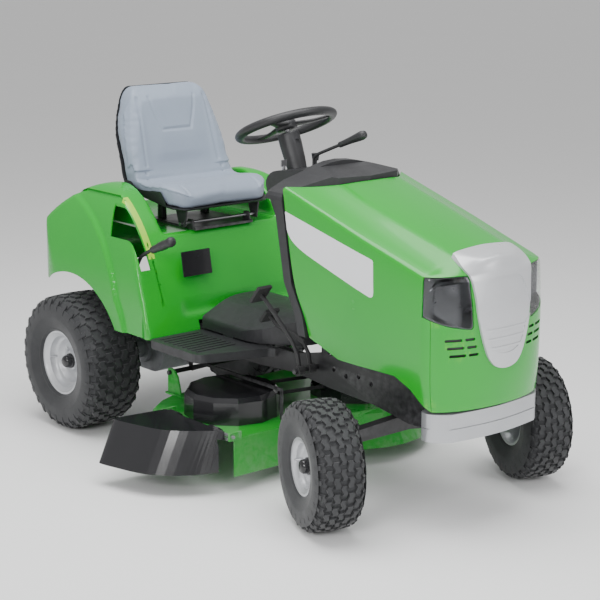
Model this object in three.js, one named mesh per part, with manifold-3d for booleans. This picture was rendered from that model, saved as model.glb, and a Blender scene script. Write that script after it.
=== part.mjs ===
// Riding lawn mower, in millimetres. +X is forward, +Y is the driver's left, +Z is up.
// While it is being built, X = 0 is the rear axle, Y = 0 the centre line and Z = 0 the ground.
// At the end the whole machine is moved so that its box is centred on the origin in X and Y.
import * as THREE from 'three';
import { mergeVertices } from 'three/addons/utils/BufferGeometryUtils.js';
import Module from 'manifold-3d';

const wasm = await Module();
wasm.setup();

// ---------------------------------------------------------------- driving dimensions
const gap = 0.3; // between pieces that touch
const clear = 2; // round pieces that move

const wheelbase = 1307;
const rearWheel = { radius: 230, width: 210, rim: 102, flange: 117, track: 730, bore: 13, segments: 24 };
const axleTube = { half: 228, radius: 36, bore: 224 }; // the transaxle's tubes and their bearings
const frontWheel = { radius: 189, width: 150, rim: 76, flange: 90, offset: 95, bore: 10, segments: 24 };
const kingpinHalf = 301; // from the centre line to a kingpin
const restSteer = -20; // degrees; the front wheels rest turned to the right
const steerArm = 110; // kingpin to tie rod pin
const steerArmZ = 214;
const axleZ = 262; // pivot of the front axle beam
const kingpinRadius = 11;

const bumper = { rear: 1482, front: 1588, half: 215, low: 279, top: 360 };

const rail = { y: 150, thick: 5, z0: 312, z1: 392, rise: 28, rear: -170, front: bumper.rear - gap };

const body = { half: 400, wall: 4, archRadius: 303, rear: -262, front: 445, top: 838, low: 386 };
const valley = { half: 238, z: 690, front: 372 }; // the sunk seat floor between the fenders

const footboard = {
  z: 390, thick: 5, lip: 22, half: 396, rear: body.front + 1, outerFront: 702, innerFront: 775,
  bridge: 5,
};
const tunnel = { half: 186, wall: 4, rear: 446, front: 850, edgeZ: 432, topZ: 486 };

const hood = { wall: 4, half: 240, corner: 1500, nose: 1606, rear: 925, rearLow: 1040, low: 367, seam: 1532 };
const hoodHinge = { x: 1580, z: 391, radius: 4, half: 70, lugY: 62, lug: 6, armY: 50, arm: 8 };
const lamp = { outer: 252, inner: 112, top: 746, low: 596, back: 1508 };
const shield = { proud: 8, half: 136, top: 812, low: 477 };

const dash = { half: 246, rim: 14, gap: 4, crest: 975, podHalf: 92, wall: 4 };
const keySwitch = { x: 718, y: -64, radius: 5 };
const throttle = { x: 724, y: 60, pivotZ: 880 };
const parkLever = { x: 822, y: -30, pivotZ: 925 };
const column = { x: 652, z: 1057, tilt: 23, top: 26, base: 150, shaft: 9, topRadius: 44, baseRadius: 30 };
const steeringRim = { radius: 150, tube: 12 };

const seat = { half: 212, front: 350, low: 757, top: 830, backTop: 1150, shell: 6 };
const seatRod = { x: 300, z: 713, radius: 5, half: 162 };

const engine = { x: 1240, low: rail.z1 + 2 + gap, radius: 118, top: 560 };
const battery = { x0: 264, x1: 368, half: 95, height: 160 };
const tank = { low: 640, half: 158 };

const deck = { low: 50, top: 170, wall: 4, lobe: 245, flare: 27, doorRear: 560, doorFront: 885, doorY: 400 };
const rightBlade = { x: 620, y: -212 };
const leftBlade = { x: 712, y: 215 };
const blade = { reach: 213, z: 78, thick: 5, width: 56 };
const pulley = { radius: 58, z: 206, height: 16 };
const cover = { radius: 152, height: 84, wall: 3, sides: 12 };
const deflector = { hingeZ: 182, hingeRadius: 5, tip: 668, topZ: 196, lowZ: 68, wall: 4 };

const liftShaft = { x: 240, z: 478, radius: 9, arm: 88, armAngle: -20, armY: rail.y + rail.thick + 5 };
const hanger = { x: 360, y: 250, z: 238, radius: 8, link: 6 };
const lever = { y: -346, length: 186, angle: 57 };
const pedalPivot = { x: 985, z: 372, radius: 8, reach: 92 };

// ---------------------------------------------------------------- materials
function finish(color, roughness, metalness = 0) {
  return new THREE.MeshStandardMaterial({ color, roughness, metalness });
}

const colours = {
  green: finish(0x33b347, 0.35),
  black: finish(0x222426, 0.6),
  blackSteel: finish(0x1b1c1e, 0.45, 0.3),
  tyre: finish(0x2c2f31, 0.85),
  rim: finish(0xb9bcc0, 0.35, 0.7),
  silver: finish(0xc9cccf, 0.35, 0.4),
  steel: finish(0x9a9da0, 0.35, 0.8),
  castGrey: finish(0x8c9094, 0.5, 0.6),
  vinyl: finish(0x9ba5b4, 0.55),
  lens: finish(0xe8eef2, 0.05),
  chrome: finish(0xdfe3e6, 0.1, 1),
  belt: finish(0x191919, 0.9),
};

// ---------------------------------------------------------------- solids
function solid(geometry) {
  geometry.deleteAttribute('normal');
  geometry.deleteAttribute('uv');
  const merged = mergeVertices(geometry, 1e-4);
  const vertProperties = new Float32Array(merged.attributes.position.array);
  const triVerts = new Uint32Array(merged.index.array);
  const made = new wasm.Manifold(new wasm.Mesh({ numProp: 3, vertProperties, triVerts }));
  if (made.volume() > 0) return made;
  for (let i = 0; i < triVerts.length; i += 3) {
    [triVerts[i], triVerts[i + 1]] = [triVerts[i + 1], triVerts[i]];
  }
  return new wasm.Manifold(new wasm.Mesh({ numProp: 3, vertProperties, triVerts }));
}

function geometryOf(made) {
  const mesh = made.getMesh();
  const geometry = new THREE.BufferGeometry();
  const positions = new Float32Array(mesh.numVert * 3);
  for (let i = 0; i < mesh.numVert; i += 1) {
    for (let k = 0; k < 3; k += 1) positions[3 * i + k] = mesh.vertProperties[i * mesh.numProp + k];
  }
  geometry.setAttribute('position', new THREE.BufferAttribute(positions, 3));
  geometry.setIndex([...mesh.triVerts]);
  return geometry;
}

const join = (first, ...rest) => rest.reduce((sum, piece) => sum.add(piece), first);
const cut = (first, ...rest) => rest.reduce((left, piece) => left.subtract(piece), first);
const common = (first, ...rest) => rest.reduce((left, piece) => left.intersect(piece), first);

function box(x0, x1, y0, y1, z0, z1) {
  const geometry = new THREE.BoxGeometry(x1 - x0, y1 - y0, z1 - z0);
  geometry.translate((x0 + x1) / 2, (y0 + y1) / 2, (z0 + z1) / 2);
  return solid(geometry);
}

function rod(from, to, radius, sides = 12, endRadius = radius) {
  const a = new THREE.Vector3(...from);
  const b = new THREE.Vector3(...to);
  const geometry = new THREE.CylinderGeometry(endRadius, radius, a.distanceTo(b), sides);
  const along = b.clone().sub(a).normalize();
  const turn = new THREE.Quaternion().setFromUnitVectors(new THREE.Vector3(0, 1, 0), along);
  geometry.applyQuaternion(turn);
  geometry.translate((a.x + b.x) / 2, (a.y + b.y) / 2, (a.z + b.z) / 2);
  return solid(geometry);
}

const upright = (x, y, z0, z1, radius, sides = 12, endRadius = radius) =>
  rod([x, y, z0], [x, y, z1], radius, sides, endRadius);

// An outline of [a, b] or [a, b, corner radius] points, with its round corners as curves.
function outline(points) {
  const shape = new THREE.Shape();
  const count = points.length;
  points.forEach(([a, b, radius = 0], i) => {
    const here = new THREE.Vector2(a, b);
    const before = new THREE.Vector2(...points[(i + count - 1) % count].slice(0, 2)).sub(here);
    const after = new THREE.Vector2(...points[(i + 1) % count].slice(0, 2)).sub(here);
    const start = here.clone().add(before.setLength(Math.min(radius, before.length() / 2)));
    const end = here.clone().add(after.setLength(Math.min(radius, after.length() / 2)));
    if (i === 0) shape.moveTo(start.x, start.y);
    else shape.lineTo(start.x, start.y);
    if (radius > 0) shape.quadraticCurveTo(a, b, end.x, end.y);
  });
  shape.closePath();
  return shape;
}

function extruded(points, depth, curveSegments = 4) {
  return new THREE.ExtrudeGeometry(outline(points), { depth, bevelEnabled: false, curveSegments, steps: 1 });
}

// Outlines drawn in plan (x, y), from the side (x, z) and from the front (y, z).
function planPlate(points, z0, z1, curveSegments) {
  const geometry = extruded(points, z1 - z0, curveSegments);
  geometry.translate(0, 0, z0);
  return solid(geometry);
}

function sidePlate(points, y0, y1, curveSegments) {
  const geometry = extruded(points, y1 - y0, curveSegments);
  geometry.rotateX(Math.PI / 2);
  geometry.translate(0, y1, 0);
  return solid(geometry);
}

function frontPlate(points, x0, x1, curveSegments) {
  const geometry = extruded(points, x1 - x0, curveSegments);
  geometry.applyMatrix4(new THREE.Matrix4().set(0, 0, 1, x0, 1, 0, 0, 0, 0, 1, 0, 0, 0, 0, 0, 1));
  return solid(geometry);
}

// A turned piece about an axis along Y: profile points are [radius, y].
function turned(profile, segments, x = 0, y = 0, z = 0) {
  const geometry = new THREE.LatheGeometry(profile.map(([r, h]) => new THREE.Vector2(r, h)), segments);
  geometry.translate(x, y, z);
  return solid(geometry);
}

// A turned piece about an upright axis: profile points are [radius, z].
function turnedUp(profile, segments, x, y) {
  const geometry = new THREE.LatheGeometry(profile.map(([r, h]) => new THREE.Vector2(r, h)), segments);
  geometry.rotateX(Math.PI / 2);
  geometry.translate(x, y, 0);
  return solid(geometry);
}

// A bent bar or tube: a round section swept along straight and curved stretches.
function bentRod(points, radius, sides = 8, steps = 16) {
  const path = new THREE.CatmullRomCurve3(points.map((p) => new THREE.Vector3(...p)), false, 'catmullrom', 0.2);
  const section = new THREE.Shape();
  for (let i = 0; i < sides; i += 1) {
    const angle = (2 * Math.PI * i) / sides;
    const [a, b] = [radius * Math.cos(angle), radius * Math.sin(angle)];
    if (i === 0) section.moveTo(a, b);
    else section.lineTo(a, b);
  }
  return solid(new THREE.ExtrudeGeometry(section, { steps, extrudePath: path, bevelEnabled: false }));
}

const mirrored = (made) => made.mirror([0, 1, 0]);

// Along the steering axis, from the wheel's centre: positive is down the column.
const tilt = THREE.MathUtils.degToRad(column.tilt);
const alongColumn = (d) => [column.x + d * Math.sin(tilt), 0, column.z - d * Math.cos(tilt)];

// ---------------------------------------------------------------- the scene
const machine = new THREE.Group();

function add(name, made, material, parent = machine) {
  const mesh = new THREE.Mesh(geometryOf(made), material.clone());
  mesh.name = name;
  parent.add(mesh);
  return mesh;
}

// ---------------------------------------------------------------- wheels
function tyre(wheel) {
  const half = wheel.width / 2;
  const bore = wheel.rim + gap;
  const side = (wheel.radius + wheel.rim) / 2 + 8;
  const wall = 14;
  const right = [
    [bore, half * 0.7 - gap],
    [side, half],
    [wheel.radius - 8, half * 0.88],
    [wheel.radius, half * 0.66],
  ];
  const left = right.map(([r, y]) => [r, -y]).reverse();
  const hollow = [
    [bore, wall - half * 0.7],
    [wheel.radius - wall, wall - half * 0.8],
    [wheel.radius - wall, half * 0.8 - wall],
    [bore, half * 0.7 - wall],
  ];
  return turned([...right, ...left, ...hollow, right[0]], wheel.segments);
}

// The outboard side is +Y: the dish is set back from the outer flange.
function rim(wheel) {
  const half = wheel.width / 2;
  const flange = half * 0.78;
  const sheet = 4;
  const dish = half * 0.28;
  const hub = wheel.bore + gap;
  const profile = [
    [hub, dish + 8],
    [wheel.bore + 16, dish + 8],
    [wheel.rim * 0.6, dish],
    [wheel.rim - 6, flange - 4],
    [wheel.flange - 2, flange + 3],
    [wheel.rim, half * 0.7],
    [wheel.rim - 14, 0],
    [wheel.rim, half * -0.7],
    [wheel.flange - 2, -flange - 3],
    [wheel.rim - 6, 4 - flange],
    [wheel.rim - 20, 0],
    [wheel.rim * 0.6, dish - sheet],
    [wheel.bore + 14, dish - 26],
    [hub, dish - 26],
  ];
  return turned([...profile, profile[0]], wheel.segments);
}

function wheelPair(prefix, wheel, side, parent, y, z) {
  const group = new THREE.Group();
  group.position.set(0, y, z);
  if (side < 0) group.rotation.z = Math.PI;
  parent.add(group);
  add(`${prefix}_tyre`, tyre(wheel), colours.tyre, group);
  add(`${prefix}_rim`, rim(wheel), colours.rim, group);
}

function rearAxleShaft(side) {
  const tip = rearWheel.track / 2 + rearWheel.width * 0.14 + 16;
  return rod([0, side * (axleTube.bore + gap), rearWheel.radius], [0, side * tip, rearWheel.radius], rearWheel.bore - gap, 16);
}

for (const [name, side] of [['right', -1], ['left', 1]]) {
  wheelPair(`rear_${name}`, rearWheel, side, machine, side * rearWheel.track / 2, rearWheel.radius);
  add(`rear_${name}_axle_shaft`, rearAxleShaft(side), colours.steel);
}

// ---------------------------------------------------------------- front axle and steering
function frontAxleBeam() {
  const tubeTop = axleZ + 34;
  const tubeLow = axleZ - 26;
  const beam = frontPlate([
    [-kingpinHalf, axleZ - 18], [-90, axleZ - 18], [-50, axleZ - 24], [50, axleZ - 24], [90, axleZ - 18],
    [kingpinHalf, axleZ - 18], [kingpinHalf, axleZ + 18], [60, axleZ + 30], [-60, axleZ + 30],
    [-kingpinHalf, axleZ + 18],
  ], wheelbase - 16, wheelbase + 16);
  const bosses = [-1, 1].map((s) =>
    upright(wheelbase, s * kingpinHalf, tubeLow, tubeTop, kingpinRadius + 9, 16));
  const bores = [-1, 1].map((s) =>
    upright(wheelbase, s * kingpinHalf, tubeLow - 2, tubeTop + 2, kingpinRadius + 0.8, 16));
  const pivotBore = rod([wheelbase - 20, 0, axleZ], [wheelbase + 20, 0, axleZ], 10, 16);
  return cut(join(beam, ...bosses), ...bores, pivotBore);
}

// Drawn about its own kingpin, with the stub axle out to side * Y.
function spindle(side) {
  const z = frontWheel.radius;
  const tubeLow = axleZ - 26;
  const tip = frontWheel.offset + frontWheel.width * 0.14 + 12;
  const pin = upright(0, 0, z - 14, axleZ + 44, kingpinRadius, 12);
  const collar = upright(0, 0, z - 16, tubeLow - gap, kingpinRadius + 5, 12);
  const cap = upright(0, 0, axleZ + 36, axleZ + 46, kingpinRadius + 5, 12);
  const stub = rod([0, 0, z], [0, side * tip, z], frontWheel.bore - gap, 12);
  const arm = sidePlate([
    [0, steerArmZ - 5], [0, steerArmZ + 3], [-steerArm - 12, steerArmZ + 3], [-steerArm - 12, steerArmZ - 5],
  ], -11, 11);
  const ball = upright(-steerArm, 0, steerArmZ - 10, steerArmZ - 4, 8, 12);
  const tiePin = upright(-steerArm, 0, steerArmZ, steerArmZ + 24, 5, 12);
  return join(pin, collar, cap, stub, arm, ball, tiePin);
}

function tieRod(fromX, fromY, toY) {
  const z = steerArmZ + 3 + gap + 8;
  const bar = rod([fromX, fromY, z], [fromX, toY, z], 7, 10);
  const eyes = [fromY, toY].map((y) => upright(fromX, y, z - 8, z + 8, 13, 16));
  const bores = [fromY, toY].map((y) => upright(fromX, y, z - 12, z + 12, 7, 16));
  return cut(join(bar, ...eyes), ...bores);
}

add('front_axle_beam', frontAxleBeam(), colours.blackSteel);
const steerAngle = THREE.MathUtils.degToRad(restSteer);
for (const [name, side] of [['right', -1], ['left', 1]]) {
  const steered = new THREE.Group();
  steered.position.set(wheelbase, side * kingpinHalf, 0);
  steered.rotation.z = steerAngle;
  machine.add(steered);
  add(`${name}_spindle`, spindle(side), colours.blackSteel, steered);
  wheelPair(`front_${name}`, frontWheel, side, steered, side * frontWheel.offset, frontWheel.radius);
}
const tiePinX = wheelbase - steerArm * Math.cos(steerAngle);
const tiePinShift = -steerArm * Math.sin(steerAngle);
add('tie_rod', tieRod(tiePinX, tiePinShift - kingpinHalf, tiePinShift + kingpinHalf), colours.steel);

// ---------------------------------------------------------------- chassis
function chassisFrame() {
  const pieces = [];
  for (const s of [-1, 1]) {
    const y0 = Math.min(s * rail.y, s * (rail.y + rail.thick));
    const sheet = sidePlate([
      [rail.rear, rail.z0 + 10], [rail.rear, rail.z1], [880, rail.z1], [1000, rail.z1 + rail.rise],
      [1330, rail.z1 + rail.rise],
      [1400, rail.z1 - 2], [rail.front, rail.z1 - 40], [rail.front, rail.z0 - 24], [1380, rail.z0 - 24],
      [1240, rail.z0 - 2], [1040, rail.z0 + 6], [880, rail.z0 + 20], [700, rail.z0 + 8],
    ], y0, y0 + rail.thick);
    const holes = [1060, 1115, 1170, 1225].map((x, i) => {
      const z = rail.z1 - 12 - 10 * (i % 2);
      return rod([x, y0 - 1, z], [x, y0 + rail.thick + 1, z], 8, 8);
    });
    const seatPost = box(120, 150, y0, y0 + rail.thick, rail.z1 - 20, valley.z - body.wall - gap);
    const liftPost = box(liftShaft.x - 22, liftShaft.x + 22, y0, y0 + rail.thick, rail.z1 - 20,
      liftShaft.z + 22);
    const tankPost = box(1068, 1094, y0, y0 + rail.thick, rail.z1, tank.low - gap);
    pieces.push(cut(join(sheet, seatPost, liftPost, tankPost), ...holes,
      rod([liftShaft.x, y0 - 1, liftShaft.z], [liftShaft.x, y0 + 6, liftShaft.z], liftShaft.radius + 1, 12)));
  }
  const inner = rail.y + 1;
  const cross = [
    box(-120, -90, -inner, inner, rail.z1 - 30, rail.z1 - 4),
    box(120, 150, -inner, inner, valley.z - 34, valley.z - body.wall - gap),
    box(480, 510, -inner, inner, rail.z0 + 30, rail.z0 + 60),
    box(1100, 1400, -inner, inner, rail.z1 - 2, rail.z1 + 2),
    box(battery.x0 - 6, battery.x1 + 6, -inner, inner, rail.z1 - 4, rail.z1),
    box(914, 966, -inner, inner, 370, 376),
    box(rail.front - 6, rail.front, -inner, inner, rail.z0 - 20, rail.z1 - 44),
    box(wheelbase - 34, wheelbase - 28, -inner, inner, rail.z0 + 20, rail.z1),
    box(wheelbase + 28, wheelbase + 34, -inner, inner, rail.z0 + 20, rail.z1),
  ];
  // The two ears that carry the front axle's pivot bolt.
  const ears = [wheelbase - 34, wheelbase + 28].map((x) => box(x, x + 6, -26, 26, axleZ - 22, rail.z0 + 30));
  const crank = upright(engine.x, 0, rail.z1 - 6, rail.z1 + 6, 24, 16);
  const earBore = rod([wheelbase - 40, 0, axleZ], [wheelbase + 40, 0, axleZ], 10, 16);
  const shaftBore = rod(alongColumn(0), alongColumn(800), column.shaft + 0.8, 12);
  const pedalShafts = [-1, 1].map((s) => rod(
    [pedalPivot.x, s * (rail.y + 2), pedalPivot.z],
    [pedalPivot.x, s * (rail.y + rail.thick + pedalPivot.reach), pedalPivot.z], pedalPivot.radius, 12));
  return cut(join(...pieces, ...cross, ...ears, ...pedalShafts), crank, earBore, shaftBore);
}

function axlePivotBolt() {
  const shank = rod([wheelbase - 42, 0, axleZ], [wheelbase + 42, 0, axleZ], 9.4, 12);
  const head = rod([wheelbase + 34.3, 0, axleZ], [wheelbase + 44, 0, axleZ], 15, 6);
  const nut = rod([wheelbase - 44, 0, axleZ], [wheelbase - 34.3, 0, axleZ], 15, 6);
  return join(shank, head, nut);
}

function frontBumper() {
  const plan = [
    [bumper.rear, -bumper.half, 30], [bumper.front - 26, -bumper.half, 46], [bumper.front, -60, 120],
    [bumper.front, 60, 120], [bumper.front - 26, bumper.half, 46], [bumper.rear, bumper.half, 30],
  ];
  const full = planPlate(plan, bumper.low, bumper.top);
  const hollow = box(bumper.rear + 26, bumper.front - 26, -150, 150, bumper.low - 1, bumper.top - 6);
  const split = cut(
    box(1400, 1700, -300, 300, 316, 319),
    planPlate(plan.map(([x, y, r]) => [x + (x < 1500 ? 3 : -3), y * 0.985, r]), 300, 330),
  );
  const { x, z, radius, lug, lugY } = hoodHinge;
  const lugs = [-1, 1].map((s) => sidePlate([
    [bumper.rear + 8, bumper.top - 4], [bumper.rear + 50, bumper.top - 4], [x - 30, z - 11], [x + 7, z - 7],
    [x + 7, z + 6], [x - 14, z + 6], [x - 50, z - 1], [bumper.rear + 8, z - 19],
  ], s * lugY - lug / 2, s * lugY + lug / 2));
  const bore = rod([x, -hoodHinge.half - 9, z], [x, hoodHinge.half + 9, z], radius + gap, 10);
  return cut(join(cut(full, hollow, split), ...lugs), bore);
}

function transaxleCase() {
  const z = rearWheel.radius;
  const centre = sidePlate([
    [-95, z - 78, 40], [95, z - 78, 40], [130, z - 10, 30], [100, z + 80, 20], [-80, z + 80, 30], [-120, z, 30],
  ], -112, 112);
  const tubes = rod([0, -axleTube.half, z], [0, axleTube.half, z], axleTube.radius, 16);
  const flanges = [-1, 1].map((s) => rod([0, s * 112, z], [0, s * 128, z], 56, 16));
  const bores = [-1, 1].map((s) => rod([0, s * axleTube.bore, z], [0, s * 240, z], rearWheel.bore + 2 * gap, 16));
  const saddle = box(-60, 60, -rail.y + gap, rail.y - gap, z + 70, rail.z0 + 24);
  return cut(join(centre, tubes, ...flanges, saddle), ...bores);
}

function engineBlock() {
  const { x, low, radius, top } = engine;
  const block = upright(x, 0, low, top, radius, 18);
  const sump = planPlate([
    [x - 120, -120, 30], [x + 120, -120, 30], [x + 120, 120, 30], [x - 120, 120, 30],
  ], low, low + 46, 2);
  const cylinder = box(x + 60, x + 200, -62, 62, low + 46, top - 12);
  const shaft = upright(x, 0, 268, low + 10, 12, 12);
  const drive = upright(x, 0, 296, 318, 30, 16);
  return join(block, sump, cylinder, shaft, drive);
}

function engineShroud() {
  const drum = turnedUp([
    [0, engine.top + gap], [140, engine.top + gap], [146, 600], [138, 650], [110, 676], [60, 686], [0, 686],
  ], 20, engine.x, 0);
  const recess = turnedUp([[0, 664], [52, 668], [58, 690], [0, 690]], 12, engine.x, 0);
  return cut(drum, recess);
}

function muffler() {
  const x = engine.x + 248;
  const can = rod([x, -90, 500], [x, 90, 500], 44, 16);
  const pipe = box(engine.x + 200 + gap, x, -20, 20, 480, 520);
  const outlet = rod([x, -60, 500], [x, -60, 440], 14, 10);
  return join(can, pipe, outlet);
}

function batteryCase() {
  const z = rail.z1 + gap;
  const shell = planPlate([
    [battery.x0, -battery.half, 6], [battery.x1, -battery.half, 6], [battery.x1, battery.half, 6],
    [battery.x0, battery.half, 6],
  ], z, z + battery.height, 2);
  const top = z + battery.height;
  const posts = [-1, 1].map((s) => upright(battery.x0 + 24, s * 60, top - 2, top + 14, 9, 8));
  return join(shell, ...posts);
}

function fuelTank() {
  const form = planPlate([
    [960, -tank.half, 26], [1080, -tank.half, 26], [1080, tank.half, 26], [960, tank.half, 26],
  ], tank.low, tank.low + 170, 3);
  const neck = upright(1020, 90, tank.low + 160, tank.low + 194, 24, 12);
  const lid = upright(1020, 90, tank.low + 190, tank.low + 210, 32, 12);
  return join(form, neck, lid);
}

add('chassis_frame', chassisFrame(), colours.blackSteel);
add('axle_pivot_bolt', axlePivotBolt(), colours.steel);
add('front_bumper', frontBumper(), colours.silver);
add('transaxle_case', transaxleCase(), colours.castGrey);
add('engine_block', engineBlock(), colours.castGrey);
add('engine_shroud', engineShroud(), colours.black);
add('muffler', muffler(), colours.steel);
add('battery', batteryCase(), colours.black);

// ---------------------------------------------------------------- rear body
function bodyForm(inset) {
  const t = inset;
  const side = sidePlate([
    [body.rear + 22 + t, 476], [body.rear + t, 560, 60], [body.rear + 60 + t, 720, 120],
    [-60, body.top - t, 160], [150, body.top - t, 190], [330, 690, 160], [body.front - 20 - t, 452, 60], [body.front - t, body.low],
    [200, body.low - 60], [0, body.low - 60],
  ], -600, 600, 6);
  const y = body.half - t;
  const front = frontPlate([
    [-y, 300], [-y, 560, 60], [-y + 34, 740, 90], [-y + 96, body.top + 4 - t, 60],
    [y - 96, body.top + 4 - t, 60], [y - 34, 740, 90], [y, 560, 60], [y, 300],
  ], -400, 600, 4);
  const plan = planPlate([
    [body.rear + t, -y, 110], [body.front - t, -y, 26], [body.front - t, y, 26], [body.rear + t, y, 110],
  ], 200, 1000, 6);
  const floorZ = valley.z - t;
  const dip = sidePlate([
    [-420, floorZ + 60], [-200, floorZ + 40, 60], [-120, floorZ, 40], [valley.front - t, floorZ, 12],
    [body.front - 26 - t, 440], [body.front + 20, 440], [body.front + 40, 1200], [-420, 1200],
  ], -valley.half - t, valley.half + t, 4);
  return cut(common(side, front, plan), dip);
}

function rearBody() {
  const outer = bodyForm(0);
  const inner = join(bodyForm(body.wall), box(-500, 700, -900, 900, 0, body.low - 1));
  const arches = rod([0, -900, rearWheel.radius], [0, 900, rearWheel.radius], body.archRadius, 32);
  const below = box(-500, 288, -900, 900, 0, 476);
  const centre = box(-500, 900, -rail.y - 40, rail.y + 40, 0, body.low + 34);
  const slot = sidePlate([[172, 640], [196, 900], [420, 900], [350, 600]], lever.y - 20, lever.y + 20);
  const shell = cut(outer, inner, common(arches, box(-500, 500, -900, 900, 0, 476)), below, centre);
  return cut(shell, slot);
}

add('rear_body', rearBody(), colours.green);

// ---------------------------------------------------------------- footboards and tunnel
function footboards() {
  const z0 = footboard.z - footboard.thick;
  const plan = (grow) => [
    [footboard.rear, -footboard.half - grow, 20], [footboard.outerFront, -footboard.half - grow, 26],
    [footboard.innerFront + grow, -rail.y - 20, 10], [footboard.innerFront + 90, -rail.y + 20],
    [footboard.innerFront + 90, rail.y - 20], [footboard.innerFront + grow, rail.y + 20, 10],
    [footboard.outerFront, footboard.half + grow, 26], [footboard.rear, footboard.half + grow, 20],
  ];
  const board = planPlate(plan(0), z0 - footboard.lip, footboard.z);
  const under = planPlate(plan(-5), z0 - footboard.lip - 1, z0);
  const middle = box(400, 900, -rail.y - 12, rail.y + 12, 300, 500);
  const bridge = box(560, 610, -tunnel.half, tunnel.half, rail.z1 - 4 + gap, footboard.z + footboard.bridge);
  const railTop = [-1, 1].map((s) => {
    const y = s * (rail.y + rail.thick / 2);
    return box(380, 900, y - 3, y + 3, 300, rail.z1 + gap);
  });
  return cut(join(cut(board, under, middle), bridge), ...railTop);
}

function tunnelForm(inset) {
  const y = tunnel.half - inset;
  const t = inset;
  const section = frontPlate([
    [-y, 380], [-y, tunnel.edgeZ - t, 12], [-70, tunnel.topZ - t, 50], [70, tunnel.topZ - t, 50],
    [y, tunnel.edgeZ - t, 12], [y, 380],
  ], 300, 1100, 4);
  const plan = planPlate([
    [tunnel.rear + t, -y, 6], [tunnel.front - 140, -y, 60], [tunnel.front - t, -80, 40],
    [tunnel.front - t, 80, 40], [tunnel.front - 140, y, 60], [tunnel.rear + t, y, 6],
  ], 300, 700, 4);
  return common(section, plan);
}

function tunnelCover() {
  const outer = common(tunnelForm(0), box(0, 2000, -500, 500, footboard.z + footboard.bridge + gap, 900));
  const clearance = box(830, 1000, -30, 30, 300, 600);
  return cut(outer, tunnelForm(tunnel.wall), clearance);
}

add('footboards', footboards(), colours.black);
add('tunnel_cover', tunnelCover(), colours.black);

// ---------------------------------------------------------------- hood, fascia, shield and headlights
// The hood is a grid of points: stations run from the rear edge round the nose, rows run from the
// lower edge up to the crown. t is how far a point lies inside the outer surface.
const creaseZ = (x) => Math.max(748, 922 - 0.297 * (x - hood.rear));
const ridgeZ = (x) => Math.max(778, 932 - 0.295 * (x - 1040));

function lowerEdge(x) {
  if (x < 1170) return THREE.MathUtils.mapLinear(x, hood.rearLow, 1170, 487, 446);
  if (x < 1400) return 446;
  if (x < hood.seam) return THREE.MathUtils.mapLinear(x, 1400, hood.seam, 446, hood.low);
  return hood.low;
}

const hoodRows = [
  { half: hood.half - 6, rear: hood.rearLow, nose: hood.nose - 10, z: (x) => lowerEdge(x) },
  { half: hood.half, rear: 1026, nose: hood.nose - 2, z: (x) => Math.max(lowerEdge(x) + 60, 440) },
  { half: hood.half + 2, rear: 975, nose: hood.nose, z: () => 640 },
  { half: hood.half, rear: hood.rear, nose: hood.nose - 16, z: creaseZ },
  { half: 116, rear: 1045, nose: hood.nose - 26, z: ridgeZ },
  { half: 0, rear: 1056, nose: hood.nose - 34, z: (x) => ridgeZ(x) + 10 },
];
const sideStations = [0, 0.25, 0.5, 0.75, 0.9, 1];
const noseStations = [15, 30, 45, 60, 75, 90];

function hoodRow(row, level, t) {
  const half = Math.max(0, row.half - (row.half > 0 ? t : 0));
  const nose = row.nose - t;
  const drop = level >= 3 ? t : 0;
  const points = sideStations.map((s) => {
    const x = THREE.MathUtils.lerp(row.rear, hood.corner, s);
    const taper = THREE.MathUtils.mapLinear(Math.max(x, 1250), 1250, hood.corner, 0, 10);
    return [x, -(half - (half > 0 ? taper : 0)), row.z(x) - drop];
  });
  for (const degrees of noseStations) {
    const angle = THREE.MathUtils.degToRad(degrees);
    const x = hood.corner + (nose - hood.corner) * Math.sin(angle);
    const y = -(half - (half > 0 ? 10 : 0)) * Math.cos(angle);
    points.push([x, degrees === 90 ? 0 : y, row.z(x) - drop]);
  }
  const left = points.slice(0, -1).reverse().map(([x, y, z]) => [x, y === 0 ? 0 : -y, z]);
  return [...points, ...left];
}

// Closes the space between an outer and an inner grid into one shell.
function shellBetween(outer, inner) {
  const positions = [];
  const triangle = (a, b, c) => positions.push(...a, ...b, ...c);
  const quad = (a, b, c, d) => {
    triangle(a, b, c);
    triangle(a, c, d);
  };
  const rows = outer.length;
  const stations = outer[0].length;
  for (let v = 0; v + 1 < rows; v += 1) {
    for (let u = 0; u + 1 < stations; u += 1) {
      quad(outer[v][u], outer[v][u + 1], outer[v + 1][u + 1], outer[v + 1][u]);
      quad(inner[v][u], inner[v + 1][u], inner[v + 1][u + 1], inner[v][u + 1]);
    }
    quad(outer[v][0], outer[v + 1][0], inner[v + 1][0], inner[v][0]);
    const last = stations - 1;
    quad(outer[v][last], inner[v][last], inner[v + 1][last], outer[v + 1][last]);
  }
  for (let u = 0; u + 1 < stations; u += 1) quad(outer[0][u], inner[0][u], inner[0][u + 1], outer[0][u + 1]);
  const geometry = new THREE.BufferGeometry();
  geometry.setAttribute('position', new THREE.BufferAttribute(new Float32Array(positions), 3));
  return solid(geometry);
}

const hoodGrid = (t) => hoodRows.map((row, level) => hoodRow(row, level, t));
const hoodShell = (outside, inside) => shellBetween(hoodGrid(outside), hoodGrid(inside));

// Regions of the skin, drawn from the front.
function lampRegion(side, grow) {
  const o = lamp.outer + grow;
  const i = lamp.inner - grow;
  const points = [
    [-o, lamp.top + grow], [-i - 6, lamp.top + grow, 10], [-i, lamp.low - grow, 10],
    [-190, lamp.low + 16 - grow], [-o + 16, lamp.low + 40 - grow, 20], [-o, lamp.low + 90],
  ];
  const region = frontPlate(points, lamp.back - grow, hood.nose + 60);
  return side < 0 ? region : mirrored(region);
}

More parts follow.
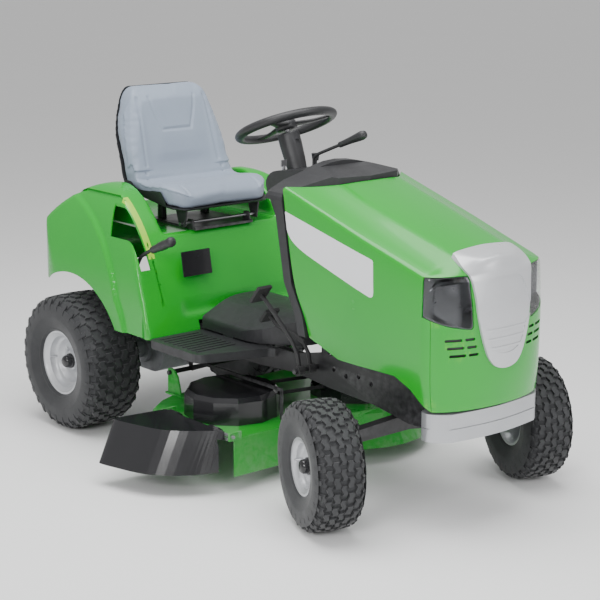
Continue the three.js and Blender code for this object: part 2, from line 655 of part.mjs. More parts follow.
function shieldRegion(grow) {
  const h = shield.half + grow;
  return frontPlate([
    [-h, shield.top - 46], [-h + 46, shield.top + 40, 30], [h - 46, shield.top + 40, 30], [h, shield.top - 46],
    [h - 30, shield.top - 100, 30], [h - 40, 600], [58, shield.low + 12 - grow, 40],
    [0, shield.low - 6 - grow, 50], [-58, shield.low + 12 - grow, 40], [-h + 40, 600], [-h + 30, shield.top - 100, 30],
  ], lamp.back, hood.nose + 60);
}

const fasciaRegion = (grow) =>
  box(hood.seam - grow, hood.nose + 60, -hood.half * 2, hood.half * 2, 0, lamp.top + grow);

const lampPair = (grow) => join(lampRegion(-1, grow), lampRegion(1, grow));

function vents() {
  const slots = [];
  for (let row = 0; row < 3; row += 1) {
    const z = 572 - 22 * row;
    for (const [outer, width] of [[192 - 6 * row, 46], [138 - 6 * row, 30]]) {
      const slot = box(lamp.back, hood.nose + 60, outer - width, outer, z - 5, z + 3);
      slots.push(slot, mirrored(slot));
    }
  }
  return join(...slots);
}

// Two arms inside the fascia's foot, bored for the hood's hinge pin.
function hingeArms() {
  const { x, z, half, radius, arm, armY } = hoodHinge;
  const arms = [-1, 1].map((s) =>
    box(x - 9, hood.nose, s * armY - arm / 2, s * armY + arm / 2, z - 8, z + 8));
  const bore = rod([x, -half, z], [x, half, z], radius + gap, 10);
  return cut(common(join(...arms), hoodForm(1)), bore);
}

// Everything inside the hood's outer surface, drawn in by t.
function hoodForm(t) {
  const grid = hoodGrid(t);
  const flat = grid.map((points) => points.map(([x, , z]) => [x, 0, z]));
  return shellBetween(grid, flat);
}

const skin = hoodShell(0, hood.wall);
add('hood', cut(skin, fasciaRegion(0.5), lampPair(0.5)), colours.green);
const fascia = cut(common(skin, fasciaRegion(0)), lampPair(0.5), vents());
const hoodPin = [-1, 1].map((s) => [hoodHinge.x, s * hoodHinge.half, hoodHinge.z]);
add('front_fascia', join(fascia, hingeArms()), colours.green);
add('hood_hinge_pin', rod(...hoodPin, hoodHinge.radius, 10), colours.steel);
add('grille_shield', common(hoodShell(-shield.proud, -gap), shieldRegion(0)), colours.silver);
for (const [name, side] of [['right', -1], ['left', 1]]) {
  add(`${name}_headlight_lens`, common(hoodShell(0, 3), lampRegion(side, 0)), colours.lens);
  const bowl = turned([[0, 0], [30, 8], [58, 34], [74, 80], [0, 80]], 12);
  const turn = bowl.rotate([0, 0, side < 0 ? -128 : -52]).translate([1518, side * 150, 672]);
  const bowlBlock = common(hoodShell(3 + gap, 46), lampRegion(side, -1));
  add(`${name}_headlight_reflector`, cut(bowlBlock, turn), colours.chrome);
}

// ---------------------------------------------------------------- dash, column and steering wheel
// The dash is made of a rim behind the hood's rear edge, a hump in front of the column, a pod round
// the column and a foot on the rails. t is how far its faces are drawn in.
function dashForm(t) {
  const y = dash.half - t;
  const front = dash.gap + t;
  const back = dash.gap + dash.rim;
  const rim = sidePlate([
    [hood.rear - back - 20 + t, 900 - t, 10], [880, 1000], [hood.rear - front, 1000], [hood.rear - front, 922],
    [975 - front, 640], [1026 - front, 547], [hood.rearLow - front, 488], [hood.rearLow - back - 20 + t, 488],
    [1026 - back - 20 + t, 547], [975 - back - 20 + t, 640],
  ], -y, y, 3);
  const hump = common(
    sidePlate([
      [850 + t, 880], [860 + t, 930], [905, dash.crest - t, 60], [1060, 944 - t], [1060, 880],
    ], -y, y, 3),
    planPlate([
      [840, -y], [hood.rear - front - 4, -y], [1045 - front - 6, -118 + t], [1056 - front - 4, 0],
      [1045 - front - 6, 118 - t], [hood.rear - front - 4, y], [840, y],
    ], 800, 1100),
  );
  const section = frontPlate([
    [-y, 400], [-y, 900 - t, 20], [-200, 922 - t, 60], [-70, dash.crest + 4 - t, 70],
    [70, dash.crest + 4 - t, 70], [200, 922 - t, 60], [y, 900 - t, 20], [y, 400],
  ], 500, 1200, 3);
  const pod = sidePlate([
    [655 + t, 890, 30], [690, 928 - t, 30], [900, dash.crest - 20 - t], [1010, 700], [1010, 560],
    [860 + t, 520, 20],
  ], -dash.podHalf + t, dash.podHalf - t, 3);
  return common(join(rim, hump, pod), section);
}

function dashPanel() {
  const foot = box(hood.rearLow - 36, hood.rearLow - dash.gap, -rail.y - rail.thick, rail.y + rail.thick,
    rail.z1 + rail.rise + gap, 500);
  const behindHood = join(box(hood.rear - dash.gap - dash.rim - 10, 1300, -232, 232, 300, 880),
    box(hood.rear - dash.gap - dash.rim, 1300, -108, 108, 300, 930));
  const window = cut(behindHood, sidePlate([
    [800, 1000], [hood.rear - 10, 1000], [hood.rear - 12, 900], [975 - 12, 640], [1026 - 12, 547],
    [hood.rearLow - 12, 488], [hood.rearLow - 12, 300], [800, 300],
  ], -300, 300));
  const hollow = common(dashForm(dash.wall), box(0, 2000, -232, 232, 300, 1200));
  const shell = join(cut(dashForm(0), hollow, window), foot);
  const bore = rod(alongColumn(40), alongColumn(760), column.shaft + clear, 12);
  const collar = rod(alongColumn(column.top), alongColumn(column.base + gap),
    column.topRadius + gap, 8, column.baseRadius + gap);
  const keyBore = upright(keySwitch.x, keySwitch.y, 850, 1000, keySwitch.radius + gap, 10);
  const throttleSlot = box(throttle.x - 26, throttle.x + 26, throttle.y - 4, throttle.y + 4, 895, 1000);
  const leverSlot = box(parkLever.x - 12, parkLever.x + 54, parkLever.y - 8, parkLever.y + 8, 935, 1000);
  return cut(shell, bore, collar, keyBore, throttleSlot, leverSlot);
}

function ignitionKey() {
  const { x, y, radius } = keySwitch;
  return join(upright(x, y, 905, 944, radius, 10), box(x - 2, x + 2, y - 11, y + 11, 942, 962));
}

function throttleLever() {
  const { x, y, pivotZ } = throttle;
  const blank = box(x - 5, x + 5, y - 2, y + 2, pivotZ - 8, 956);
  const knob = upright(x, y, 950, 972, 10, 10, 13);
  const axle = rod([x, y - 14, pivotZ], [x, dash.podHalf - dash.wall - gap, pivotZ], 5, 10);
  return join(blank, knob, axle);
}

function columnCover() {
  const sleeve = rod(alongColumn(column.top), alongColumn(column.base), column.topRadius, 8, column.baseRadius);
  const round = rod(alongColumn(column.top), alongColumn(column.base), 36, 16);
  const bore = rod(alongColumn(0), alongColumn(column.base + 20), column.shaft + clear, 12);
  return cut(common(sleeve, round), bore);
}

function steeringShaft() {
  return rod(alongColumn(12), alongColumn(744), column.shaft, 12);
}

function steeringWheel() {
  const ring = [];
  const sides = 8;
  for (let i = 0; i <= sides; i += 1) {
    const angle = (2 * Math.PI * (i % sides)) / sides;
    ring.push([steeringRim.radius + steeringRim.tube * Math.cos(angle), steeringRim.tube * Math.sin(angle)]);
  }
  const rimRing = turned(ring, 28);
  const hub = rod([0, -14, 0], [0, 14, 0], 34, 14);
  const spokes = [90, 210, 330].map((degrees) => {
    const angle = THREE.MathUtils.degToRad(degrees);
    const spoke = box(24, steeringRim.radius - 4, -5, 3, -15, 15);
    return spoke.rotate([0, (angle * 180) / Math.PI, 0]);
  });
  const socket = rod([0, -16, 0], [0, -11, 0], column.shaft + gap, 12);
  return cut(join(rimRing, hub, ...spokes), socket).rotate([90, 0, 0]).rotate([0, -column.tilt, 0])
    .translate([column.x, 0, column.z]);
}

add('dash_panel', dashPanel(), colours.black);
add('column_cover', columnCover(), colours.black);
add('steering_shaft', steeringShaft(), colours.steel);
add('steering_wheel', steeringWheel(), colours.black);
add('ignition_key', ignitionKey(), colours.steel);
add('throttle_lever', throttleLever(), colours.black);
add('fuel_tank', fuelTank(), colours.black);

// ---------------------------------------------------------------- seat
function seatForm(inset) {
  const t = inset;
  const side = sidePlate([
    [60 + t, 800 + t, 30], [seat.front - t, seat.low + t, 16], [seat.front + 4 - t, seat.top - 20, 30],
    [seat.front - 60, seat.top + 4, 40], [130, seat.top - 16, 40], [96, seat.top + 30, 40],
    [22, seat.backTop - 12, 30], [-46 + t, seat.backTop - t, 30], [-40 + t, 1000, 60],
  ], -400, 400, 4);
  const y = seat.half - t;
  const front = frontPlate([
    [-y + 10, seat.low - 4], [-y, 820, 40], [-y + 8, 960, 90], [-y + 56, seat.backTop + 4 - t, 50],
    [y - 56, seat.backTop + 4 - t, 50], [y - 8, 960, 90], [y, 820, 40], [y - 10, seat.low - 4],
  ], -200, 600, 4);
  const plan = planPlate([
    [-200, -y, 10], [seat.front + 10 - t, -y, 110], [seat.front + 10 - t, y, 110], [-200, y, 10],
  ], 600, 1300, 4);
  return common(side, front, plan);
}

// The underside of the seat pan, which rises towards the back.
const panLow = (x) => THREE.MathUtils.mapLinear(x, 60, seat.front, 800, seat.low);

function seatShell() {
  const pan = cut(seatForm(0), seatForm(0).translate([seat.shell, 0, seat.shell]));
  const brackets = [-1, 1].map((s) => sidePlate([
    [seatRod.x - 40, panLow(seatRod.x - 40) + 3], [seatRod.x - 14, seatRod.z - 12],
    [seatRod.x + 14, seatRod.z - 12], [seatRod.x + 26, panLow(seatRod.x + 26) + 3],
  ], s * 150 - 3, s * 150 + 3));
  const eyes = [-1, 1].map((s) =>
    rod([seatRod.x, s * 150 - 8, seatRod.z], [seatRod.x, s * 150 + 8, seatRod.z], seatRod.radius + gap, 12));
  return cut(join(pan, ...brackets), ...eyes);
}

function seatCushion() {
  const lift = seat.shell + 0.6;
  return common(seatForm(1), seatForm(0).translate([lift, 0, lift]));
}

function seatSlider() {
  const z0 = valley.z + gap;
  const base = box(70, 330, -120, 120, z0, z0 + 8);
  const ears = [-1, 1].map((s) => sidePlate([
    [seatRod.x - 22, z0], [seatRod.x + 22, z0], [seatRod.x + 12, seatRod.z + 12, 6],
    [seatRod.x - 12, seatRod.z + 12, 6],
  ], s * 117 - 3, s * 117 + 3));
  const stops = [-1, 1].map((s) => upright(100, s * 90, z0, panLow(100) - 3, 16, 12, 13));
  const bore = rod([seatRod.x, -130, seatRod.z], [seatRod.x, 130, seatRod.z], seatRod.radius + gap, 12);
  return cut(join(base, ...ears, ...stops), bore);
}

add('seat_shell', seatShell(), colours.black);
add('seat_cushion', seatCushion(), colours.vinyl);
add('seat_slider', seatSlider(), colours.blackSteel);
add('seat_hinge_rod', rod([seatRod.x, -seatRod.half, seatRod.z], [seatRod.x, seatRod.half, seatRod.z],
  seatRod.radius, 12), colours.steel);

// ---------------------------------------------------------------- mower deck
function deckForm(inset, low, high) {
  const lobe = deck.lobe - inset;
  const bell = ({ x, y }) => turnedUp([
    [0, low], [lobe + deck.flare, low], [lobe + 12, low + 26], [lobe, low + 50], [lobe, high - 12],
    [lobe - 12, high], [0, high],
  ], 24, x, y);
  const bridge = planPlate([
    [rightBlade.x - lobe + 20, rightBlade.y], [rightBlade.x + lobe - 2, rightBlade.y],
    [leftBlade.x + lobe - 10, leftBlade.y], [leftBlade.x - lobe + 90, leftBlade.y + 150],
    [rightBlade.x - lobe + 10 + inset, hanger.y + 60 - inset, 50],
  ], low, high, 3);
  const chute = planPlate([
    [deck.doorRear + inset - 4, rightBlade.y], [deck.doorRear + inset - 4, -deck.doorY],
    [deck.doorFront - inset + 4, -deck.doorY], [deck.doorFront - inset + 4, rightBlade.y],
  ], low, high);
  return join(bell(rightBlade), bell(leftBlade), bridge, chute);
}

function deckShell() {
  const outer = deckForm(0, deck.low, deck.top);
  const inner = deckForm(deck.wall, deck.low - 1, deck.top - deck.wall);
  const door = box(deck.doorRear, deck.doorFront, -700, -deck.doorY + 12, deck.low + 8, deck.top - deck.wall);
  const beyond = box(deck.doorRear - 4, deck.doorFront + 4, -700, -deck.doorY, deck.low + 8, deck.top + 10);
  const bores = [rightBlade, leftBlade].map(({ x, y }) =>
    upright(x, y, deck.top - 40, deck.top + 40, 10 + gap, 16));
  const housings = [rightBlade, leftBlade].map(({ x, y }) =>
    upright(x, y, deck.top - 34, deck.top + 24, 32, 12, 26));
  const brackets = [-1, 1].map((s) => {
    const plate = sidePlate([
      [hanger.x - 15, deck.top - 2], [hanger.x + 56, deck.top - 2], [hanger.x + 38, 232],
      [hanger.x + 14, 252, 8], [hanger.x - 14, 252, 8],
    ], s * hanger.y - 3, s * hanger.y + 3, 2);
    const y = s * hanger.y;
    const foot = box(hanger.x - 15, hanger.x + 80, y - 14, y + 14, deck.top - 4, deck.top + 2);
    return join(plate, foot);
  });
  const shell = cut(join(cut(outer, inner), ...brackets), door, beyond);
  const tubeBore = rod([hanger.x, -300, hanger.z], [hanger.x, 300, hanger.z], hanger.radius + gap, 12);
  return cut(join(shell, ...housings), tubeBore, ...bores);
}

// The lift frame: a cross tube through the deck's rear plates, two upright links that the lift
// arms carry, and two long bars to the front of the deck.
function deckHanger() {
  const { x, y, z, radius, link } = hanger;
  const tube = rod([x, -y - 12, z], [x, y + 12, z], radius, 12);
  const linkY = liftShaft.armY + 4 + gap + link / 2;
  const armEnd = liftArmEnd();
  const sides = [-1, 1].map((s) => {
    const upLink = sidePlate([
      [x - 8, z - 8], [x + 8, z - 8], [armEnd.x + 10, armEnd.z + 12], [armEnd.x - 8, armEnd.z + 12],
    ], s * linkY - link / 2, s * linkY + link / 2);
    const front = s < 0 ? rightBlade.x + 215 : leftBlade.x + 215;
    const barZ = deck.top + cover.height + 12;
    const bar = sidePlate([
      [x - 4, z - 4], [x - 4, z + 8], [x + 80, barZ + 5], [front, barZ + 5], [front, deck.top + gap],
      [front - 10, deck.top + gap], [front - 10, barZ - 5], [x + 90, barZ - 5], [x + 12, z - 6],
    ], s * linkY - link / 2, s * linkY + link / 2);
    return join(upLink, bar);
  });
  return join(tube, ...sides);
}

function beltCover({ x, y }, shiftX, shiftY) {
  const z0 = deck.top + gap;
  const cx = x + shiftX;
  const cy = y + shiftY;
  const r = cover.radius;
  const form = (inset) => {
    const low = inset ? z0 - 1 : z0;
    const high = z0 + cover.height - inset;
    return turnedUp([
      [0, low], [r - inset, low], [r - inset - 2, high - 14], [r - 12 - inset, high], [0, high],
    ], cover.sides, cx, cy);
  };
  return cut(form(0), form(cover.wall));
}

function bladeSpindle({ x, y }) {
  const shaft = upright(x, y, blade.z - 14, pulley.z + pulley.height + 8, 10, 12);
  const wheel = upright(x, y, pulley.z, pulley.z + pulley.height, pulley.radius, 24);
  const nut = upright(x, y, blade.z - 16, blade.z - gap, 16, 6);
  const hub = upright(x, y, blade.z + blade.thick + gap, blade.z + 26, 17, 12);
  return join(shaft, wheel, nut, hub);
}

function bladeBar({ x, y }, degrees) {
  const r = blade.reach;
  const w = blade.width / 2;
  const flat = planPlate([[-r, -w, 4], [r, -w, 4], [r, w, 4], [-r, w, 4]], 0, blade.thick);
  const sails = [0, 180].map((turnBy) => sidePlate([
    [r - 90, blade.thick - 1], [r - 2, blade.thick - 1], [r - 2, 22], [r - 60, 20],
  ], w - 5, w).rotate([0, 0, turnBy]));
  const bore = upright(0, 0, -2, blade.thick + 2, 10.4, 12);
  return cut(join(flat, ...sails), bore).rotate([0, 0, degrees]).translate([x, y, blade.z]);
}

function beltLoop(radius, z0, z1) {
  const along = new THREE.Vector2(leftBlade.x - rightBlade.x, leftBlade.y - rightBlade.y);
  const across = new THREE.Vector2(-along.y, along.x).setLength(radius);
  const bar = planPlate([
    [rightBlade.x + across.x, rightBlade.y + across.y], [rightBlade.x - across.x, rightBlade.y - across.y],
    [leftBlade.x - across.x, leftBlade.y - across.y], [leftBlade.x + across.x, leftBlade.y + across.y],
  ], z0, z1);
  const ends = [rightBlade, leftBlade].map(({ x, y }) => upright(x, y, z0, z1, radius, 24));
  return join(bar, ...ends);
}

function deckBelt() {
  const z0 = pulley.z + 3;
  const z1 = pulley.z + pulley.height - 3;
  return cut(beltLoop(pulley.radius + 9, z0, z1), beltLoop(pulley.radius + 0.6, z0 - 1, z1 + 1));
}

const hingeY = -deck.doorY - 14;

function hingePin() {
  return rod([deck.doorRear - 20, hingeY, deflector.hingeZ], [deck.doorFront + 20, hingeY, deflector.hingeZ],
    deflector.hingeRadius, 12);
}

function hingeBracket(x) {
  const z = deflector.hingeZ;
  const lug = sidePlate([[x - 4, deck.top - 3], [x + 4, deck.top - 3], [x + 4, z + 10], [x - 4, z + 10]],
    hingeY - 8, -deck.doorY + 24);
  return cut(lug, rod([x - 10, hingeY, z], [x + 10, hingeY, z], deflector.hingeRadius + gap, 12));
}

// Its sides spread by `spread` from the flat top down to the lower edge.
function deflectorForm(inset) {
  const t = inset;
  const spread = 60;
  const plan = (grow) => [
    [deck.doorRear + 12 + t, hingeY - 12], [deck.doorRear - 12 + t, -deflector.tip + 60 - grow + t, 20],
    [deck.doorRear + 18 + t, -deflector.tip - grow + 60 + t, 30], [deck.doorRear + 200, -560 - grow + t, 80],
    [deck.doorFront - 40 - t, -450 - grow + t, 40], [deck.doorFront - 10 - t, hingeY - 12],
  ];
  return loftDown(plan(0), deflector.topZ - t, plan(spread), deflector.lowZ - (t ? 2 : 0));
}

// A straight-sided solid between one outline at z1 and a like outline at z0.
function loftDown(upperPoints, z1, lowerPoints, z0) {
  const upper = outline(upperPoints).getPoints(5);
  const lower = outline(lowerPoints).getPoints(5);
  const count = Math.min(upper.length, lower.length);
  const positions = [];
  const triangle = (a, b, c) => positions.push(...a, ...b, ...c);
  const top = upper.slice(0, count).map((p) => [p.x, p.y, z1]);
  const low = lower.slice(0, count).map((p) => [p.x, p.y, z0]);
  for (let i = 0; i < count; i += 1) {
    const j = (i + 1) % count;
    triangle(low[i], low[j], top[j]);
    triangle(low[i], top[j], top[i]);
  }
  for (const [x, y, z] of THREE.ShapeUtils.triangulateShape(upper.slice(0, count), [])) {
    triangle(top[x], top[y], top[z]);
  }
  for (const [x, y, z] of THREE.ShapeUtils.triangulateShape(lower.slice(0, count), [])) {
    triangle(low[z], low[y], low[x]);
  }
  const geometry = new THREE.BufferGeometry();
  geometry.setAttribute('position', new THREE.BufferAttribute(new Float32Array(positions), 3));
  return solid(geometry);
}

function deflectorShell() {
  const shell = cut(deflectorForm(0), deflectorForm(deflector.wall));
  const open = box(deck.doorRear - 60, deck.doorFront + 60, hingeY - 30, 0, 0, deflector.hingeZ - 12);
  const knuckles = [deck.doorRear + 50, deck.doorFront - 70].map((x) => {
    const barrel = rod([x - 24, hingeY, deflector.hingeZ], [x + 24, hingeY, deflector.hingeZ], 11, 12);
    return join(barrel, box(x - 24, x + 24, hingeY - 24, hingeY, deflector.topZ - 5, deflector.topZ));
  });
  const bore = rod([400, hingeY, deflector.hingeZ], [1000, hingeY, deflector.hingeZ],
    deflector.hingeRadius + 0.6, 12);
  return cut(join(cut(shell, open), ...knuckles), bore);
}

const lugs = [deck.doorRear - 4, deck.doorFront + 6].map(hingeBracket);
add('deck_shell', join(deckShell(), ...lugs), colours.green);
add('deck_hanger', deckHanger(), colours.blackSteel);
const beltWay = beltLoop(pulley.radius + 14, pulley.z - 2, pulley.z + pulley.height + 2);
add('right_belt_cover', cut(beltCover(rightBlade, 44, -22), beltWay), colours.black);
add('left_belt_cover', cut(beltCover(leftBlade, 30, 6), beltWay), colours.black);
add('right_blade_spindle', bladeSpindle(rightBlade), colours.steel);
add('left_blade_spindle', bladeSpindle(leftBlade), colours.steel);
add('right_blade', bladeBar(rightBlade, 30), colours.steel);
add('left_blade', bladeBar(leftBlade, -60), colours.steel);
add('deck_belt', deckBelt(), colours.belt);
add('deflector_hinge_pin', hingePin(), colours.steel);
add('deflector', deflectorShell(), colours.black);

// ---------------------------------------------------------------- levers and pedals
function liftArmEnd() {
  const angle = THREE.MathUtils.degToRad(liftShaft.armAngle);
  const { x, z, arm } = liftShaft;
  return { x: x + arm * Math.cos(angle), z: z + arm * Math.sin(angle) };
}

function heightLever() {
  const angle = THREE.MathUtils.degToRad(lever.angle);
  const topX = liftShaft.x + lever.length * Math.cos(angle);
  const topZ = liftShaft.z + lever.length * Math.sin(angle);
  const shaft = rod([liftShaft.x, lever.y - 6, liftShaft.z], [liftShaft.x, liftShaft.armY + 3, liftShaft.z],
    liftShaft.radius, 12);
  const rodBar = bentRod([
    [liftShaft.x, lever.y, liftShaft.z], [liftShaft.x + 50, lever.y, liftShaft.z + 78], [topX, lever.y, topZ],
    [topX + 70, lever.y, topZ + 36],
  ], 6, 6, 6);
  const grip = rod([topX + 62, lever.y, topZ + 31], [topX + 176, lever.y, topZ + 78], 11, 12, 17);
  const arms = [-1, 1].map((s) => {
    const y = s * liftShaft.armY;
    const end = liftArmEnd();
    return rod([liftShaft.x, y, liftShaft.z], [end.x, y, end.z], 4, 8);
  });
  return join(shaft, rodBar, grip, ...arms);
}

function pedal(y, padX, padZ, padLength, tiltBy) {
  const arm = bentRod([
    [pedalPivot.x, y, pedalPivot.z], [pedalPivot.x - 20, y, pedalPivot.z + 70], [padX + 34, y, padZ - 24],
    [padX - 1, y, padZ],
  ], 7, 6, 6);
  const eye = rod([pedalPivot.x, y - 12, pedalPivot.z], [pedalPivot.x, y + 12, pedalPivot.z], 15, 12);
  const flatPad = box(-padLength / 2, padLength / 2, -26, 26, -5, 5);
  const pad = flatPad.rotate([0, -tiltBy, 0]).translate([padX, y, padZ]);
  const bore = rod([pedalPivot.x, y - 20, pedalPivot.z], [pedalPivot.x, y + 20, pedalPivot.z],
    pedalPivot.radius + gap, 12);
  return cut(join(arm, eye, pad), bore);
}

function dashLever() {
  const { x, y, pivotZ } = parkLever;
  const bar = bentRod([
    [x, y, pivotZ], [x, y, 975], [x + 22, y, 992], [x + 115, y, 1028], [x + 125, y, 1032],
  ], 5, 6, 8);
  const axle = rod([x, dash.wall + gap - dash.podHalf, pivotZ], [x, y + 12, pivotZ], 7, 10);
  const grip = rod([x + 118, y, 1029], [x + 231, y, 1073], 9, 10, 14);
  return join(bar, axle, grip);
}

add('height_lever', heightLever(), colours.black);
add('drive_pedal', pedal(-224, 800, 575, 66, 50), colours.black);
add('reverse_pedal', pedal(-182, 790, 500, 50, 50), colours.black);
add('brake_pedal', pedal(212, 800, 560, 66, 50), colours.black);
add('dash_lever', dashLever(), colours.black);

const size = new THREE.Box3().setFromObject(machine);
machine.position.set(-(size.min.x + size.max.x) / 2, -(size.min.y + size.max.y) / 2, -size.min.z);
machine.updateMatrixWorld(true);

export default machine;
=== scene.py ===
# A riding lawn mower. Lengths are in millimetres, measured from the middle of the rear axle at ground
# level: x forward, y to the driver's left, z up. place() turns them into the frame's metres.
import math

import bmesh
import bpy
from mathutils import Matrix, Vector
from mathutils.bvhtree import BVHTree


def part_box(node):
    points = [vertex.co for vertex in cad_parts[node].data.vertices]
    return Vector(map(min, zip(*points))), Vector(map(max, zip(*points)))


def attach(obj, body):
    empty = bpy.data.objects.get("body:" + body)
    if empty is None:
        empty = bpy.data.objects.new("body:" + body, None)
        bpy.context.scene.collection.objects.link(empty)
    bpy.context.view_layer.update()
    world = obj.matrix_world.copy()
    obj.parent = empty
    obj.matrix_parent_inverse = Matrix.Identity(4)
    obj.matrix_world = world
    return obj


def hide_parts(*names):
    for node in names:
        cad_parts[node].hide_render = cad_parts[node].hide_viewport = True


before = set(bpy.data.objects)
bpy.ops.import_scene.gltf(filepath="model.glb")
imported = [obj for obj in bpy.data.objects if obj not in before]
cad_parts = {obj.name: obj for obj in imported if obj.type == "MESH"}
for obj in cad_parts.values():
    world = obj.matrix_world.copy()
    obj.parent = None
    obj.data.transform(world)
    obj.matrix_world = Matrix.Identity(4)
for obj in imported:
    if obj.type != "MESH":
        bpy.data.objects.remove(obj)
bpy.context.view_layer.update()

MM = 0.001


def axle_origin():
    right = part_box("rear_right_rim")
    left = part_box("rear_left_rim")
    x = (right[0].x + right[1].x) / 2
    y = (right[0].y + left[1].y) / 2
    return Vector((x, y, 0))


ORIGIN = axle_origin()


def place(x, y, z):
    return Vector((ORIGIN.x + x * MM, ORIGIN.y + y * MM, z * MM))


def lerp(a, b, t):
    return a + (b - a) * t


def clamp(t, low=0.0, high=1.0):
    return max(low, min(high, t))


def smoothstep(a, b, t):
    t = clamp((t - a) / (b - a))
    return t * t * (3 - 2 * t)


def along(table, x):
    """The value at x of a table of (x, value) pairs, with straight lines between them."""
    if x <= table[0][0]:
        return table[0][1]
    for (x0, v0), (x1, v1) in zip(table, table[1:]):
        if x <= x1:
            return lerp(v0, v1, (x - x0) / (x1 - x0))
    return table[-1][1]


# ------------------------------------------------------------------ meshes
def mesh_object(name, verts, faces, material=None, smooth=True):
    """verts are in the mower's millimetres."""
    mesh = bpy.data.meshes.new(name)
    mesh.from_pydata([place(*v) for v in verts], [], faces)
    mesh.validate()
    obj = bpy.data.objects.new(name, mesh)
    bpy.context.scene.collection.objects.link(obj)
    fix_normals(obj)
    if smooth:
        mesh.polygons.foreach_set("use_smooth", [True] * len(mesh.polygons))
    if material:
        mesh.materials.append(material)
    return obj


def fix_normals(obj):
    bm = bmesh.new()
    bm.from_mesh(obj.data)
    bmesh.ops.remove_doubles(bm, verts=bm.verts, dist=1e-6)
    bmesh.ops.recalc_face_normals(bm, faces=bm.faces)
    bm.to_mesh(obj.data)
    bm.free()


def apply_modifier(obj, kind, **settings):
    modifier = obj.modifiers.new(kind, kind)
    for key, value in settings.items():
        setattr(modifier, key, value)
    bpy.context.view_layer.objects.active = obj
    with bpy.context.temp_override(object=obj, active_object=obj, selected_objects=[obj]):
        bpy.ops.object.modifier_apply(modifier=modifier.name)
    return obj


def boolean(obj, operation, *others, keep=False):
    for other in others:
        apply_modifier(obj, "BOOLEAN", operation=operation, object=other, solver="MANIFOLD")
        if not keep:
            bpy.data.objects.remove(other)
    return obj


def cut(obj, *others, keep=False):
    return boolean(obj, "DIFFERENCE", *others, keep=keep)


def common(obj, *others, keep=False):
    return boolean(obj, "INTERSECT", *others, keep=keep)


def merge(name, objects, material=None):
    """One object with every part of the given ones, unjoined."""
    first = objects[0]
    bm = bmesh.new()
    for obj in objects:
        bm.from_mesh(obj.data)
    mesh = bpy.data.meshes.new(name)
    bm.to_mesh(mesh)
    bm.free()
    for slot in first.data.materials:
        mesh.materials.append(slot)
    for obj in objects:
        bpy.data.objects.remove(obj)
    merged = bpy.data.objects.new(name, mesh)
    bpy.context.scene.collection.objects.link(merged)
    mesh.polygons.foreach_set("use_smooth", [True] * len(mesh.polygons))
    if material:
        mesh.materials.clear()
        mesh.materials.append(material)
    return merged


def copy_of(obj, name):
    twin = obj.copy()
    twin.data = obj.data.copy()
    twin.name = name
    bpy.context.scene.collection.objects.link(twin)
    return twin


def remesh(obj, voxel, rounds=0, strength=0.5):
    """Rounds a closed form: an even mesh of voxel millimetres, then so many rounds of smoothing."""
    apply_modifier(obj, "REMESH", mode="VOXEL", voxel_size=voxel * MM)
    if rounds:
        apply_modifier(obj, "SMOOTH", factor=strength, iterations=rounds)
    obj.data.polygons.foreach_set("use_smooth", [True] * len(obj.data.polygons))
    return obj


def grown(obj, name, distance):
    """A copy whose surface is moved out by so many millimetres, or in where negative."""
    twin = copy_of(obj, name)
    apply_modifier(twin, "DISPLACE", strength=distance * MM, mid_level=0)
    return twin


def bevel(obj, width, segments=2, angle=32):
    modifier = obj.modifiers.new("soft edges", "BEVEL")
    modifier.width = width * MM
    modifier.segments = segments
    modifier.limit_method = "ANGLE"
    modifier.angle_limit = math.radians(angle)
    modifier.harden_normals = True
    modifier.use_clamp_overlap = True
    return obj


def smooth_by_angle(obj, degrees=35):
    bm = bmesh.new()
    bm.from_mesh(obj.data)
    for edge in bm.edges:
        sharp = len(edge.link_faces) != 2 or edge.calc_face_angle(0) > math.radians(degrees)
        edge.smooth = not sharp
    bm.to_mesh(obj.data)
    bm.free()
    obj.data.polygons.foreach_set("use_smooth", [True] * len(obj.data.polygons))
    return obj


def rounded(points, steps=6):
    """An outline of (a, b) or (a, b, radius) points with its round corners drawn as curves."""
    result = []
    count = len(points)
    for i, point in enumerate(points):
        here = Vector(point[:2])
        radius = point[2] if len(point) > 2 else 0
        if not radius:
            result.append((here.x, here.y))
            continue
        before = Vector(points[i - 1][:2]) - here
        after = Vector(points[(i + 1) % count][:2]) - here
        start = here + before.normalized() * min(radius, before.length / 2)
        end = here + after.normalized() * min(radius, after.length / 2)
        for k in range(steps + 1):
            t = k / steps
            spot = start * (1 - t) ** 2 + here * 2 * t * (1 - t) + end * t * t
            result.append((spot.x, spot.y))
    return result


def prism(name, points, low, high, axis, steps=6):
    """A straight solid between low and high along axis: 'y' takes (x, z) points, 'x' (y, z), 'z' (x, y)."""
    ring = rounded(points, steps)
    spot = {
        "y": lambda a, b, h: (a, h, b),
        "x": lambda a, b, h: (h, a, b),
        "z": lambda a, b, h: (a, b, h),
    }[axis]
    count = len(ring)
    verts = [spot(a, b, h) for h in (low, high) for a, b in ring]
    faces = [tuple(range(count)), tuple(range(2 * count - 1, count - 1, -1))]
    for i in range(count):
        j = (i + 1) % count
        faces.append((i, j, count + j, count + i))
    return mesh_object(name, verts, faces, smooth=False)


def block(name, x0, x1, y0, y1, z0, z1):
    return prism(name, [(x0, y0), (x1, y0), (x1, y1), (x0, y1)], z0, z1, "z")


def grid_faces(rows, columns, closed=False):
    faces = []
    last = columns if closed else columns - 1
    for v in range(rows - 1):
        for u in range(last):
            w = (u + 1) % columns
            faces.append((v * columns + u, v * columns + w, (v + 1) * columns + w, (v + 1) * columns + u))
    return faces


